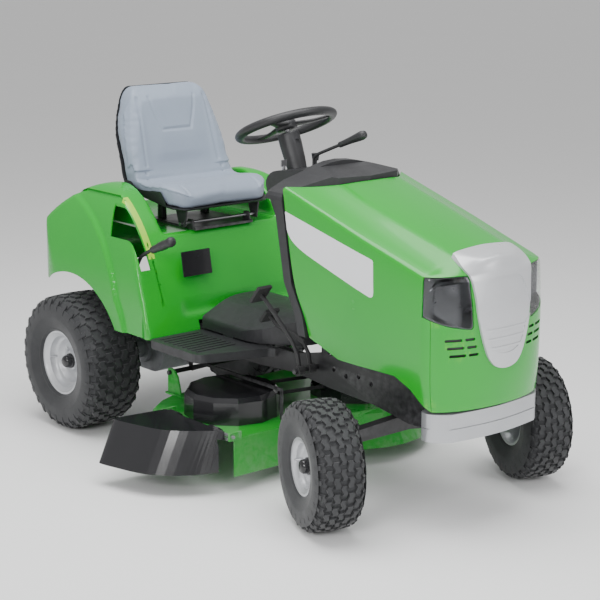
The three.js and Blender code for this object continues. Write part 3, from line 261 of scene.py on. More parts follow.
def turned(name, profile, centre, axis, segments=64, material=None, closed=True):
    """A turned piece: profile is (radius, height) pairs about the axis through centre."""
    axis = Vector(axis).normalized()
    side = axis.orthogonal().normalized()
    other = axis.cross(side)
    verts = []
    for radius, height in profile:
        for i in range(segments):
            angle = 2 * math.pi * i / segments
            arm = side * math.cos(angle) + other * math.sin(angle)
            verts.append(tuple(Vector(centre) + arm * radius + axis * height))
    faces = grid_faces(len(profile), segments, True)
    if closed:
        last = (len(profile) - 1) * segments
        for i in range(segments):
            j = (i + 1) % segments
            faces.append((last + i, last + j, j, i))
    obj = mesh_object(name, verts, faces, material)
    return smooth_by_angle(obj)


def rod(name, start, end, radius, material=None, segments=24, end_radius=None, edge=1.0):
    """A round bar with slightly rounded ends."""
    length = (Vector(end) - Vector(start)).length
    top = radius if end_radius is None else end_radius
    edge = min(edge, radius * 0.8, length / 3)
    profile = [
        (0.01, 0), (radius - edge, 0), (radius, edge), (top, length - edge), (top - edge, length),
        (0.01, length),
    ]
    return turned(name, profile, start, Vector(end) - Vector(start), segments, material)


def bent_bar(name, points, radius, material=None, sides=16, steps=10):
    """A round bar along a smooth path through the points."""
    path = []
    spots = [Vector(p) for p in points]
    for i in range(len(spots) - 1):
        before = spots[max(i - 1, 0)]
        a, b = spots[i], spots[i + 1]
        after = spots[min(i + 2, len(spots) - 1)]
        for k in range(steps):
            t = k / steps
            slope_a = (b - before) * 0.25
            slope_b = (after - a) * 0.25
            path.append(
                a * (1 + t * t * (2 * t - 3)) + b * t * t * (3 - 2 * t)
                + slope_a * t * (1 - t) ** 2 + slope_b * t * t * (t - 1)
            )
    path.append(spots[-1])
    verts = []
    side = None
    for i, spot in enumerate(path):
        forward = (path[min(i + 1, len(path) - 1)] - path[max(i - 1, 0)]).normalized()
        side = forward.orthogonal() if side is None else side - forward * side.dot(forward)
        side.normalize()
        other = forward.cross(side)
        for k in range(sides):
            angle = 2 * math.pi * k / sides
            verts.append(tuple(spot + (side * math.cos(angle) + other * math.sin(angle)) * radius))
    faces = grid_faces(len(path), sides, True)
    faces.append(tuple(range(sides)))
    faces.append(tuple(range(len(verts) - 1, len(verts) - sides - 1, -1)))
    return mesh_object(name, verts, faces, material)


def finish_piece(obj, body, material, slot, *nodes):
    """Gives a piece its material and its body and, where it stands for CAD nodes, hides them."""
    obj.data.materials.clear()
    obj.data.materials.append(material)
    if nodes:
        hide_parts(*nodes)
    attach(obj, body)
    return obj


# ------------------------------------------------------------------ shared shader groups
def node_group(name, inputs, outputs, build):
    group = bpy.data.node_groups.new(name, "ShaderNodeTree")
    for label, kind, value in inputs:
        socket = group.interface.new_socket(label, in_out="INPUT", socket_type=kind)
        socket.default_value = value
    for label, kind in outputs:
        group.interface.new_socket(label, in_out="OUTPUT", socket_type=kind)
    start = group.nodes.new("NodeGroupInput")
    end = group.nodes.new("NodeGroupOutput")
    build(Wiring(group), start.outputs, end.inputs)
    return group


class Wiring:
    """Short calls for making and linking shader nodes."""

    def __init__(self, tree):
        self.tree = tree

    def node(self, kind, **values):
        made = self.tree.nodes.new(kind)
        for key, value in values.items():
            if hasattr(made, key):
                setattr(made, key, value)
            else:
                made.inputs[key.replace("_", " ").title()].default_value = value
        return made

    def link(self, source, target):
        self.tree.links.new(source, target)

    def math(self, operation, a, b=0.0, limit=False):
        made = self.tree.nodes.new("ShaderNodeMath")
        made.operation = operation
        made.use_clamp = limit
        for socket, value in zip(made.inputs, (a, b)):
            self.put(value, socket)
        return made.outputs[0]

    def put(self, value, socket):
        if isinstance(value, bpy.types.NodeSocket):
            self.link(value, socket)
        else:
            socket.default_value = value

    def noise(self, scale, detail=3.0, rough=0.5, vector=None):
        made = self.tree.nodes.new("ShaderNodeTexNoise")
        self.put(scale, made.inputs["Scale"])
        made.inputs["Detail"].default_value = detail
        made.inputs["Roughness"].default_value = rough
        source = vector or self.tree.nodes.new("ShaderNodeTexCoord").outputs["Object"]
        self.link(source, made.inputs["Vector"])
        return made.outputs["Fac"]

    def remap(self, value, low, high, to_low=0.0, to_high=1.0):
        made = self.tree.nodes.new("ShaderNodeMapRange")
        for label, number in (
            ("Value", value), ("From Min", low), ("From Max", high), ("To Min", to_low), ("To Max", to_high),
        ):
            self.put(number, made.inputs[label])
        return made.outputs[0]

    def mix(self, factor, a, b):
        made = self.tree.nodes.new("ShaderNodeMix")
        made.data_type = "RGBA"
        self.put(factor, made.inputs["Factor"])
        self.put(a, made.inputs[6])
        self.put(b, made.inputs[7])
        return made.outputs[2]


def build_edge_mask(w, given, result):
    """1 along outward edges, 0 elsewhere, broken up by noise."""
    points = w.tree.nodes.new("ShaderNodeNewGeometry").outputs["Pointiness"]
    edge = w.remap(points, 0.52, 0.6)
    broken = w.math("MULTIPLY", edge, w.remap(w.noise(given["Scale"]), 0.35, 0.65))
    w.link(w.math("MULTIPLY", broken, given["Amount"], True), result["Mask"])


def build_mottle(w, given, result):
    """A colour that wanders slightly between two tones, and a roughness that wanders with it."""
    fine = w.noise(given["Scale"], 5.0, 0.6)
    w.link(w.mix(fine, given["Light"], given["Dark"]), result["Color"])
    w.link(w.remap(fine, 0.3, 0.7, given["Rough Low"], given["Rough High"]), result["Roughness"])


def build_grain(w, given, result):
    """Moulded grain: small rounded cells with fine noise between them, as a bump height."""
    cells = w.tree.nodes.new("ShaderNodeTexVoronoi")
    coords = w.tree.nodes.new("ShaderNodeTexCoord").outputs["Object"]
    w.link(coords, cells.inputs["Vector"])
    w.link(given["Scale"], cells.inputs["Scale"])
    fine = w.noise(w.math("MULTIPLY", given["Scale"], 3.0), 2.0)
    height = w.math("ADD", cells.outputs["Distance"], w.math("MULTIPLY", fine, 0.3))
    w.link(height, result["Height"])


def build_dust(w, given, result):
    """More dust low down, as a mask."""
    geometry = w.tree.nodes.new("ShaderNodeNewGeometry")
    split = w.tree.nodes.new("ShaderNodeSeparateXYZ")
    w.link(geometry.outputs["Position"], split.inputs[0])
    low = w.remap(split.outputs["Z"], 0.0, given["Top"], 1.0, 0.0)
    spots = w.remap(w.noise(given["Scale"], 6.0, 0.65), 0.45, 0.75)
    w.link(w.math("MULTIPLY", w.math("MULTIPLY", low, spots), given["Amount"], True), result["Mask"])


FLOAT = "NodeSocketFloat"
COLOR = "NodeSocketColor"
edge_mask = node_group(
    "edge mask", [("Scale", FLOAT, 60.0), ("Amount", FLOAT, 0.5)], [("Mask", FLOAT)], build_edge_mask)
mottle = node_group(
    "mottle",
    [("Scale", FLOAT, 8.0), ("Light", COLOR, (1, 1, 1, 1)), ("Dark", COLOR, (0, 0, 0, 1)),
     ("Rough Low", FLOAT, 0.3), ("Rough High", FLOAT, 0.4)],
    [("Color", COLOR), ("Roughness", FLOAT)], build_mottle)
grain = node_group("grain", [("Scale", FLOAT, 600.0)], [("Height", FLOAT)], build_grain)
dust = node_group(
    "dust", [("Scale", FLOAT, 20.0), ("Top", FLOAT, 0.25), ("Amount", FLOAT, 0.5)], [("Mask", FLOAT)],
    build_dust)


# ------------------------------------------------------------------ materials
def surface(name, light, dark, rough=(0.3, 0.4), scale=8.0, metallic=0.0, coat=0.0, grain_scale=0,
            grain_depth=0.1,
            edge_wear_and_highlight=None, edge_wear_and_highlight_color=(0.5, 0.5, 0.52, 1), dusty=0.0, dust_color=(0.32, 0.29, 0.24, 1), peel=0.0,
            sheen=0.0):
    """A finish that wanders between two values, with edge wear (on the green panel a painted highlight along
    its creases instead), dust, grain or orange peel.
    """
    material = bpy.data.materials.new(name)
    material.use_nodes = True
    w = Wiring(material.node_tree)
    shader = material.node_tree.nodes["Principled BSDF"]
    tone = w.node("ShaderNodeGroup", node_tree=mottle)
    tone.inputs["Scale"].default_value = scale
    tone.inputs["Light"].default_value = (*light, 1)
    tone.inputs["Dark"].default_value = (*dark, 1)
    tone.inputs["Rough Low"].default_value, tone.inputs["Rough High"].default_value = rough
    color, roughness = tone.outputs["Color"], tone.outputs["Roughness"]
    # Edge colour: real wear on most finishes, a painted highlight along the creases and edges on the green
    # panel.
    if edge_wear_and_highlight:
        mask = w.node("ShaderNodeGroup", node_tree=edge_mask)
        mask.inputs["Amount"].default_value = edge_wear_and_highlight
        color = w.mix(mask.outputs["Mask"], color, edge_wear_and_highlight_color)
    if dusty:
        mask = w.node("ShaderNodeGroup", node_tree=dust)
        mask.inputs["Amount"].default_value = dusty
        color = w.mix(mask.outputs["Mask"], color, dust_color)
        roughness = w.math("MAXIMUM", roughness, w.math("MULTIPLY", mask.outputs["Mask"], 0.9))
    w.link(color, shader.inputs["Base Color"])
    w.link(roughness, shader.inputs["Roughness"])
    shader.inputs["Metallic"].default_value = metallic
    shader.inputs["Coat Weight"].default_value = coat
    shader.inputs["Coat Roughness"].default_value = 0.06
    shader.inputs["Sheen Weight"].default_value = sheen
    if grain_scale or peel:
        bump = w.node("ShaderNodeBump")
        if grain_scale:
            cells = w.node("ShaderNodeGroup", node_tree=grain)
            cells.inputs["Scale"].default_value = grain_scale
            w.link(cells.outputs["Height"], bump.inputs["Height"])
            bump.inputs["Strength"].default_value = grain_depth
            bump.inputs["Distance"].default_value = 0.0005
        else:
            w.link(w.noise(260.0, 1.0), bump.inputs["Height"])
            bump.inputs["Strength"].default_value = peel
            bump.inputs["Distance"].default_value = 0.0004
        w.link(bump.outputs["Normal"], shader.inputs["Normal"])
    return material


# The green panel's lighter yellow-green edge colour is a painted highlight along the hood's creases and
# edges, not wear.
GREEN_PANEL = surface("green panel", (0.008, 0.37, 0.018), (0.004, 0.31, 0.022), (0.2, 0.28), 3.0, coat=0.2,
                      peel=0.05, edge_wear_and_highlight=0.55, edge_wear_and_highlight_color=(0.12, 0.5, 0.02, 1))
GREEN_STEEL = surface("green steel", (0.01, 0.36, 0.018), (0.006, 0.28, 0.018), (0.26, 0.38), 6.0, coat=0.25,
                      peel=0.1, edge_wear_and_highlight=0.25, dusty=0.25)
WHITE_PANEL = surface("white panel", (0.80, 0.81, 0.83), (0.72, 0.73, 0.76), (0.3, 0.36), 4.0, coat=0.4)
SILVER = surface("silver plastic", (0.62, 0.63, 0.65), (0.53, 0.54, 0.56), (0.26, 0.34), 5.0, metallic=0.35,
                 coat=0.4)
BUMPER = surface("bumper silver", (0.50, 0.51, 0.53), (0.42, 0.43, 0.45), (0.3, 0.42), 5.0, metallic=0.5,
                 coat=0.2)
BLACK_PLASTIC = surface("black plastic", (0.022, 0.023, 0.025), (0.014, 0.014, 0.016), (0.38, 0.52), 12.0,
                        grain_scale=900.0, grain_depth=0.18, edge_wear_and_highlight=0.12, edge_wear_and_highlight_color=(0.09, 0.09, 0.1, 1))
BLACK_GLOSS = surface("black gloss", (0.016, 0.016, 0.018), (0.01, 0.01, 0.012), (0.18, 0.28), 10.0, coat=0.3,
                      grain_scale=700.0, grain_depth=0.06)
BLACK_STEEL = surface("black steel", (0.02, 0.02, 0.022), (0.012, 0.012, 0.013), (0.32, 0.5), 14.0, peel=0.15,
                      edge_wear_and_highlight=0.35, edge_wear_and_highlight_color=(0.2, 0.2, 0.21, 1), dusty=0.2)
RUBBER = surface("grip rubber", (0.018, 0.018, 0.019), (0.012, 0.012, 0.013), (0.6, 0.75), 20.0,
                 grain_scale=1200.0,
                 grain_depth=0.2, sheen=0.1)
TYRE = surface("tyre rubber", (0.030, 0.031, 0.034), (0.019, 0.020, 0.022), (0.62, 0.82), 18.0,
               grain_scale=1500.0,
               grain_depth=0.15, dusty=0.22, dust_color=(0.085, 0.083, 0.08, 1), sheen=0.15)
RIM = surface("rim paint", (0.60, 0.61, 0.63), (0.48, 0.49, 0.51), (0.34, 0.5), 30.0, metallic=0.55, coat=0.1,
              peel=0.12, edge_wear_and_highlight=0.2, edge_wear_and_highlight_color=(0.3, 0.3, 0.3, 1), dusty=0.3)
STEEL = surface("bare steel", (0.58, 0.58, 0.60), (0.42, 0.42, 0.44), (0.28, 0.45), 60.0, metallic=1.0,
                peel=0.1)
CAST = surface("cast case", (0.42, 0.43, 0.45), (0.30, 0.31, 0.33), (0.5, 0.7), 40.0, metallic=0.7,
               grain_scale=500.0, grain_depth=0.3, dusty=0.3)
SCALE_LABEL = surface("height scale label", (0.36, 0.66, 0.03), (0.30, 0.58, 0.03), (0.35, 0.45), 40.0,
                      coat=0.2)
# A darker copy of the reflector chrome: painted shade that stands in for the dark reflections inside the
# lamp.
DARKENED_REFLECTOR_CHROME = surface("reflector chrome with painted shade", (0.16, 0.165, 0.17), (0.09, 0.092, 0.1), (0.12, 0.3), 30.0, metallic=0.9)
CHROME = surface("reflector chrome", (0.66, 0.67, 0.69), (0.5, 0.51, 0.53), (0.06, 0.16), 10.0, metallic=1.0)
VINYL = surface("seat vinyl", (0.26, 0.31, 0.385), (0.22, 0.265, 0.335), (0.42, 0.52), 9.0, grain_scale=750.0,
                grain_depth=0.22, sheen=0.1)


def lens_material():
    material = bpy.data.materials.new("lamp lens")
    material.use_nodes = True
    w = Wiring(material.node_tree)
    shader = material.node_tree.nodes["Principled BSDF"]
    shader.inputs["Base Color"].default_value = (0.96, 0.98, 1, 1)
    shader.inputs["Transmission Weight"].default_value = 1.0
    shader.inputs["IOR"].default_value = 1.3
    w.link(w.remap(w.noise(40.0), 0.3, 0.7, 0.0, 0.05), shader.inputs["Roughness"])
    clear = w.node("ShaderNodeBsdfTransparent")
    blend = w.node("ShaderNodeMixShader")
    blend.inputs[0].default_value = 0.22
    w.link(clear.outputs[0], blend.inputs[1])
    w.link(shader.outputs[0], blend.inputs[2])
    w.link(blend.outputs[0], material.node_tree.nodes["Material Output"].inputs["Surface"])
    return material


LENS = lens_material()


# ------------------------------------------------------------------ wheels
REAR = dict(radius=230, width=210, rim=102, flange=117, pitches=30)
FRONT = dict(radius=189, width=147.6, rim=76, flange=90, pitches=26)
TREAD = 7.5


def crown(wheel, y):
    """The carcass radius at y across the tread, rounded off at the shoulders."""
    half = wheel["width"] / 2
    s = abs(y) / half
    return wheel["radius"] - TREAD - 1.5 - 5 * s ** 2 - 26 * smoothstep(0.72, 1.0, s) ** 1.6


def on_wheel(angle, radius, y):
    """A point of the wheel about its own axle: y across, angle round it."""
    return (radius * math.cos(angle), y, radius * math.sin(angle))


def carcass_profile(wheel):
    half = wheel["width"] / 2
    bead = wheel["rim"] + 0.5
    side = (wheel["radius"] + wheel["rim"]) / 2
    right = [
        (bead, half * 0.69), (bead + 6, half * 0.80), (bead + 12, half * 0.865), (bead + 14, half * 0.885),
        (bead + 17, half * 0.885), (bead + 19, half * 0.90), (side - 14, half * 0.965),
        (side - 10, half * 0.985),
        (side - 4, half * 0.992), (side + 8, half * 0.995), (side + 24, half * 0.985),
        (side + 36, half * 0.955),
    ]
    top = []
    for k in range(0, 17):
        y = half * 0.91 * (1 - k / 8)
        top.append((crown(wheel, y), y))
    left = [(r, -y) for r, y in reversed(right)]
    inner = [(bead + 20, -half * 0.6), (wheel["radius"] - 30, -half * 0.6),
             (wheel["radius"] - 30, half * 0.6),
             (bead + 20, half * 0.6)]
    return right + top + left + inner


def tread_block(verts, faces, wheel, angles, edge_low, edge_high, shrink=0.86):
    """A raised block between two wavy edges: edge_low and edge_high give y at each angle."""
    start = len(verts)
    count = len(angles)
    middle = sum(angles) / count
    for rise, scale in ((-4.0, 1.0), (TREAD, shrink)):
        for k, angle in enumerate(angles):
            low, high = edge_low(k / (count - 1)), edge_high(k / (count - 1))
            centre = (low + high) / 2
            turned_angle = middle + (angle - middle) * scale
            for y in (centre + (low - centre) * scale, centre + (high - centre) * scale):
                radius = crown(wheel, y) + rise
                verts.append(on_wheel(turned_angle, radius, y))
    top = start + 2 * count
    for k in range(count - 1):
        a, b = start + 2 * k, top + 2 * k
        faces.append((b, b + 1, b + 3, b + 2))
        faces.append((a, b, b + 2, a + 2))
        faces.append((a + 1, a + 3, b + 3, b + 1))
    faces.append((start, start + 1, top + 1, top))
    last = 2 * (count - 1)
    faces.append((start + last, top + last, top + last + 1, start + last + 1))


def sidewall_lug(verts, faces, wheel, angle, side):
    """A short bar that carries the shoulder blocks down the sidewall."""
    half = wheel["width"] / 2
    wide = 7.0 / wheel["radius"]
    start = len(verts)
    spots = [(crown(wheel, half * 0.86) + TREAD * 0.9, 0.86), (wheel["radius"] - 33, 0.985),
             (wheel["radius"] - 46, 0.995)]
    for radius, share in spots:
        for turn in (-wide, wide):
            for proud in (-3, 3 if radius > wheel["radius"] - 44 else 0.6):
                y = side * min(half * share + proud, half)
                verts.append(on_wheel(angle + turn, radius + (proud if share < 0.9 else 0), y))
    for k in range(2):
        a, b = start + 4 * k, start + 4 * k + 4
        faces.extend([(a + 1, a + 3, b + 3, b + 1), (a, a + 1, b + 1, b), (a + 2, b + 2, b + 3, a + 3)])
    faces.append((start, start + 2, start + 3, start + 1))
    faces.append((start + 8, start + 9, start + 11, start + 10))


def tyre_mesh(name, wheel, matrix):
    half = wheel["width"] / 2
    pitch = 2 * math.pi / wheel["pitches"]
    verts, faces = [], []
    profile = carcass_profile(wheel)
    segments = wheel["pitches"] * 4
    for r, y in profile:
        for i in range(segments):
            verts.append(on_wheel(2 * math.pi * i / segments, r, y))
    faces.extend(grid_faces(len(profile), segments, True))
    last = (len(profile) - 1) * segments
    for i in range(segments):
        j = (i + 1) % segments
        faces.append((last + i, last + j, j, i))
    rows = [(-0.10, 0.10, 0.0), (0.16, 0.40, 0.5), (-0.40, -0.16, 0.5), (0.46, 0.68, 0.0),
            (-0.68, -0.46, 0.0),
            (0.73, 0.90, 0.5), (-0.90, -0.73, 0.5)]
    for i in range(wheel["pitches"]):
        for low, high, phase in rows:
            start = pitch * (i + phase)
            cover = 0.76 if abs(low) < 0.7 else 0.62
            angles = [start + pitch * cover * k / 4 for k in range(5)]
            sway = half * 0.045 * (1 if low + high >= 0 else -1)

            def wave(t, offset):
                return half * offset + sway * math.sin(2 * math.pi * t)

            edges = (lambda t, o=low: wave(t, o), lambda t, o=high: wave(t, o))
            tread_block(verts, faces, wheel, angles, *edges)
        for side in (-1, 1):
            sidewall_lug(verts, faces, wheel, pitch * (i + 0.5 + 0.31), side)
    verts = [tuple(matrix @ Vector(v)) for v in verts]
    mesh = bpy.data.meshes.new(name)
    mesh.from_pydata([place(*v) for v in verts], [], faces)
    obj = bpy.data.objects.new(name, mesh)
    bpy.context.scene.collection.objects.link(obj)
    fix_normals(obj)
    return smooth_by_angle(obj, 38)


def rim_mesh(name, wheel, matrix):
    """The pressed rim with its stepped dish, its hub, nuts and valve; outboard is +y."""
    half = wheel["width"] / 2
    rim, flange = wheel["rim"], wheel["flange"]
    lip = half * 0.78
    profile = [
        (12, half * 0.28 + 14), (rim * 0.30, half * 0.28 + 14), (rim * 0.33, half * 0.28 + 9),
        (rim * 0.36, half * 0.28 + 3),
        (rim * 0.40, half * 0.28), (rim * 0.60, half * 0.28 - 2), (rim * 0.66, half * 0.30),
        (rim * 0.70, half * 0.38),
        (rim * 0.74, half * 0.44), (rim * 0.80, half * 0.46), (rim * 0.84, half * 0.50),
        (rim * 0.87, lip - 12),
        (rim - 9, lip - 8), (rim - 4, lip - 4), (rim, lip + 1), (flange - 6, lip + 2.5),
        (flange - 3, lip + 1.5),
        (flange - 2.2, lip - 0.5), (flange - 5, lip - 2.2), (rim + 1, lip - 3),
        (rim + 0.2, half * 0.62), (rim - 13, half * 0.2), (rim - 15, -half * 0.3), (rim + 0.2, -half * 0.62),
        (rim + 1, 3 - lip), (flange - 5, 2.2 - lip), (flange - 2.2, 0.5 - lip), (flange - 3, -1.5 - lip),
        (rim, -lip - 1), (rim - 4, 4 - lip), (rim - 18, -half * 0.3), (rim - 18, half * 0.1),
        (rim * 0.62, half * 0.2),
        (rim * 0.36, half * 0.2), (12, half * 0.2),
    ]
    dish = turned(name, profile, (0, 0, 0), (0, 1, 0), 96)
    pieces = [dish]
    for k in range(5):
        angle = 2 * math.pi * (k + 0.5) / 5
        spot = Vector((rim * 0.5 * math.cos(angle), half * 0.27, rim * 0.5 * math.sin(angle)))
        nut = turned("nut", [(0.01, 0), (7.5, 0), (7.5, 4), (6.5, 5.5), (0.01, 5.5)], spot, (0, 1, 0), 6)
        pieces.append(nut)
    stem = turned("valve", [(0.01, 0), (3.6, 0), (3.6, 14), (2.6, 16), (2.6, 24), (0.01, 24)],
                  (rim * 0.79, half * 0.44, 0), (0.25, 1, 0), 16)
    pieces.append(stem)
    for piece in pieces:
        piece.data.transform(Matrix.Translation(place(0, 0, 0)).inverted())
        piece.data.transform(scaled(matrix))
        piece.data.transform(Matrix.Translation(place(0, 0, 0)))
    return merge(name, pieces)


def scaled(matrix):
    """The same turn with its shift in metres."""
    result = matrix.copy()
    result.translation = matrix.translation * MM
    return result


def cap_mesh(name, wheel, matrix):
    half = wheel["width"] / 2
    profile = [(0.01, 34), (8, 33.6), (15, 31.5), (19.5, 27), (21.5, 20), (22, 12), (24.5, 11), (25.5, 8),
               (25, 0), (0.01, 0)]
    cap = turned(name, profile, (0, half * 0.28 + 10, 0), (0, 1, 0), 48)
    cap.data.transform(Matrix.Translation(place(0, 0, 0)).inverted())
    cap.data.transform(scaled(matrix))
    cap.data.transform(Matrix.Translation(place(0, 0, 0)))
    return cap


STEER = math.radians(-20)
KINGPIN = (1307, 301)
STUB = 95


def wheel_matrix(end, side):
    """Where a wheel stands: its own +y is outboard."""
    turn = Matrix.Rotation(0 if side > 0 else math.pi, 4, "Z")
    if end == "rear":
        return Matrix.Translation((0, side * 365, REAR["radius"])) @ turn
    steer = Matrix.Rotation(STEER, 4, "Z")
    spot = steer @ Vector((0, side * STUB, 0))
    middle = (KINGPIN[0] + spot.x, side * KINGPIN[1] + spot.y, FRONT["radius"])
    return Matrix.Translation(middle) @ steer @ turn


for end, wheel in (("rear", REAR), ("front", FRONT)):
    for name, side in (("right", -1), ("left", 1)):
        body = f"{end}_{name}_wheel"
        matrix = wheel_matrix(end, side)
        tyre = tyre_mesh(f"{body}_tyre_tread", wheel, matrix)
        finish_piece(tyre, body, TYRE, "tyre_rubber", f"{end}_{name}_tyre")
        rim = rim_mesh(f"{body}_pressed_rim", wheel, matrix)
        finish_piece(rim, body, RIM, "rim_paint", f"{end}_{name}_rim")
        cap = cap_mesh(f"{body}_hub_cap", wheel, matrix)
        finish_piece(cap, body, BLACK_GLOSS, "black_plastic")


# ------------------------------------------------------------------ hood, fascia, shield and headlights
HOOD_REAR = 925
HOOD_CORNER = 1500
HOOD_NOSE = 1606
SEAM = 1532
LAMP_TOP = 746
LAMP_BACK = 1508


def crease_z(x):
    return max(748 - 8 * smoothstep(1500, 1610, x), 922 - 0.297 * (x - HOOD_REAR))


def ridge_z(x):
    return max(778, 932 - 0.295 * (x - 1040))


def lower_edge_z(x):
    return along([(1040, 487), (1170, 446), (1400, 446), (1460, 420), (SEAM, 367)], x)


HOOD_ROWS = (
    # half width, rear x, nose x, height along x, rounding
    (234, 1040, 1596, lower_edge_z, 0),
    (240, 1026, 1604, lambda x: max(lower_edge_z(x) + 60, 440), 60),
    (242, 975, 1606, lambda x: 640, 150),
    (240, 925, 1590, crease_z, 14),
    (178, 985, 1585, lambda x: lerp(crease_z(x), ridge_z(x), 0.5) - 4, 60),
    (116, 1045, 1580, ridge_z, 18),
    (60, 1052, 1575, lambda x: ridge_z(x) + 5, 40),
    (0, 1056, 1572, lambda x: ridge_z(x) + 7, 0),
)


def hood_station(u, degrees):
    """The points of one section from the lower edge to the crown.

    u runs along the side. degrees runs round the nose, and is None along the side.
    """
    points = []
    for half, rear, nose, height, rounding in HOOD_ROWS:
        if degrees is None:
            x = lerp(rear, HOOD_CORNER, u)
            taper = 10 * clamp((x - 1250) / 250)
            y = -(half - (taper if half else 0))
        else:
            angle = math.radians(degrees)
            x = HOOD_CORNER + (nose - HOOD_CORNER) * math.sin(angle)
            y = -(half - (10 if half else 0)) * math.cos(angle)
        points.append((Vector((x, y, height(x))), rounding))
    section = [points[0][0]]
    for i in range(1, len(points) - 1):
        here, rounding = points[i]
        before, after = points[i - 1][0] - here, points[i + 1][0] - here
        start = here + before.normalized() * min(rounding, before.length * 0.48)
        end = here + after.normalized() * min(rounding, after.length * 0.48)
        for k in range(7):
            t = k / 6
            section.append(start * (1 - t) ** 2 + here * 2 * t * (1 - t) + end * t * t)
    section.append(points[-1][0])
    return section


def hood_surface(name, out=0.0):
    """The hood's outer surface, open, moved out by so many millimetres."""
    stations = [hood_station(k / 36, None) for k in range(36)]
    stations += [hood_station(None, 90 * k / 24) for k in range(25)]
    mirror = [[Vector((p.x, -p.y, p.z)) for p in s] for s in reversed(stations[:-1])]
    stations += mirror
    verts = [tuple(p) for s in stations for p in s]
    faces = grid_faces(len(stations), len(stations[0]))
    obj = mesh_object(name, verts, faces)
    mesh = obj.data
    centre = place(1250, 0, 600)
    middle = mesh.polygons[len(mesh.polygons) // 8]
    if middle.normal.dot(middle.center - centre) < 0:
        mesh.flip_normals()
    if out:
        apply_modifier(obj, "DISPLACE", strength=out * MM, mid_level=0)
    return obj


def hood_skin(name, out, thick):
    """A closed shell of the hood's shape: out is its outer face's offset, thick its wall."""
    obj = hood_surface(name, out)
    apply_modifier(obj, "SOLIDIFY", thickness=thick * MM, offset=-1)
    fix_normals(obj)
    return obj


def lamp_region(side, grow, back=LAMP_BACK):
    outer, inner, top, low = 252 + grow, 112 - grow, LAMP_TOP + grow, 596 - grow
    points = [
        (-outer, top), (-inner - 6, top, 14), (-inner, low, 16), (-190, low + 16, 24),
        (-outer + 16, low + 40, 24),
        (-outer, low + 90),
    ]
    points = [(side * -p[0], *p[1:]) for p in points]
    return prism("lamp region", points, back - grow, HOOD_NOSE + 60, "x")


def shield_region(name, grow, low=477, top=812):
    h = 136 + grow
    points = [
        (-h + 6, top - 40 + grow, 16), (-h + 50, top + 40, 30), (h - 50, top + 40, 30),
        (h - 6, top - 40 + grow, 16),
        (h - 24, top - 92, 40), (h - 36, 600, 200), (60, low + 12 - grow, 50), (0, low - 6 - grow, 60),
        (-60, low + 12 - grow, 50), (-h + 36, 600, 200), (-h + 24, top - 92, 40),
    ]
    return prism(name, points, LAMP_BACK, HOOD_NOSE + 60, "x", 8)


def fascia_region(grow):
    return block("fascia region", SEAM - grow, HOOD_NOSE + 60, -500, 500, 0, LAMP_TOP + grow)


def vent_slots():
    slots = []
    for row in range(3):
        z = 572 - 22 * row
        for outer, width in ((192 - 6 * row, 46), (138 - 6 * row, 30)):
            for side in (-1, 1):
                y0, y1 = sorted((side * outer, side * (outer - width)))
                points = [(y0, z - 5, 3), (y1, z - 5, 3), (y1, z + 3, 3), (y0, z + 3, 3)]
                slots.append(prism("slot", points, LAMP_BACK, HOOD_NOSE + 60, "x", 3))
    return slots


def make_hood():
    hood = hood_skin("hood_panel", 0, 4)
    cut(hood, fascia_region(0.8), lamp_region(-1, 0.8), lamp_region(1, 0.8))
    bevel(smooth_by_angle(hood), 1.4)
    finish_piece(hood, "hood_assembly", GREEN_PANEL, "green_panel", "hood")

    fascia = hood_skin("fascia_panel", 0, 4)
    common(fascia, fascia_region(-0.4))
    cut(fascia, lamp_region(-1, 0.8), lamp_region(1, 0.8), *vent_slots())
    bevel(smooth_by_angle(fascia), 1.2)
    finish_piece(fascia, "hood_assembly", GREEN_PANEL, "green_panel", "front_fascia")

    grille = hood_skin("vent_mesh", -5, 3)
    common(grille, block("vents", LAMP_BACK, HOOD_NOSE, -215, 215, 510, 590))
    finish_piece(grille, "hood_assembly", BLACK_PLASTIC, "black_plastic")


def make_shield():
    shield = hood_skin("shield_panel", 8, 7.6)
    common(shield, shield_region("shield", 0))
    recess = hood_skin("recess", 12, 6.2)
    common(recess, shield_region("inner", -20, 500, 694))
    cut(shield, recess)
    bevel(smooth_by_angle(shield), 2.6, 3)
    finish_piece(shield, "hood_assembly", SILVER, "silver_plastic", "grille_shield")
    for k in range(3):
        z = 588 - 26 * k
        rib = hood_skin(f"shield_rib_{k + 1}", 8.4, 2.6)
        wide = 82 - 9 * k
        points = [(-wide, z - 4, 4), (wide, z - 4, 4), (wide, z + 4, 4), (-wide, z + 4, 4)]
        common(rib, prism("rib", points, LAMP_BACK, HOOD_NOSE + 60, "x"))
        bevel(smooth_by_angle(rib), 1.2)
        finish_piece(rib, "hood_assembly", SILVER, "silver_plastic")


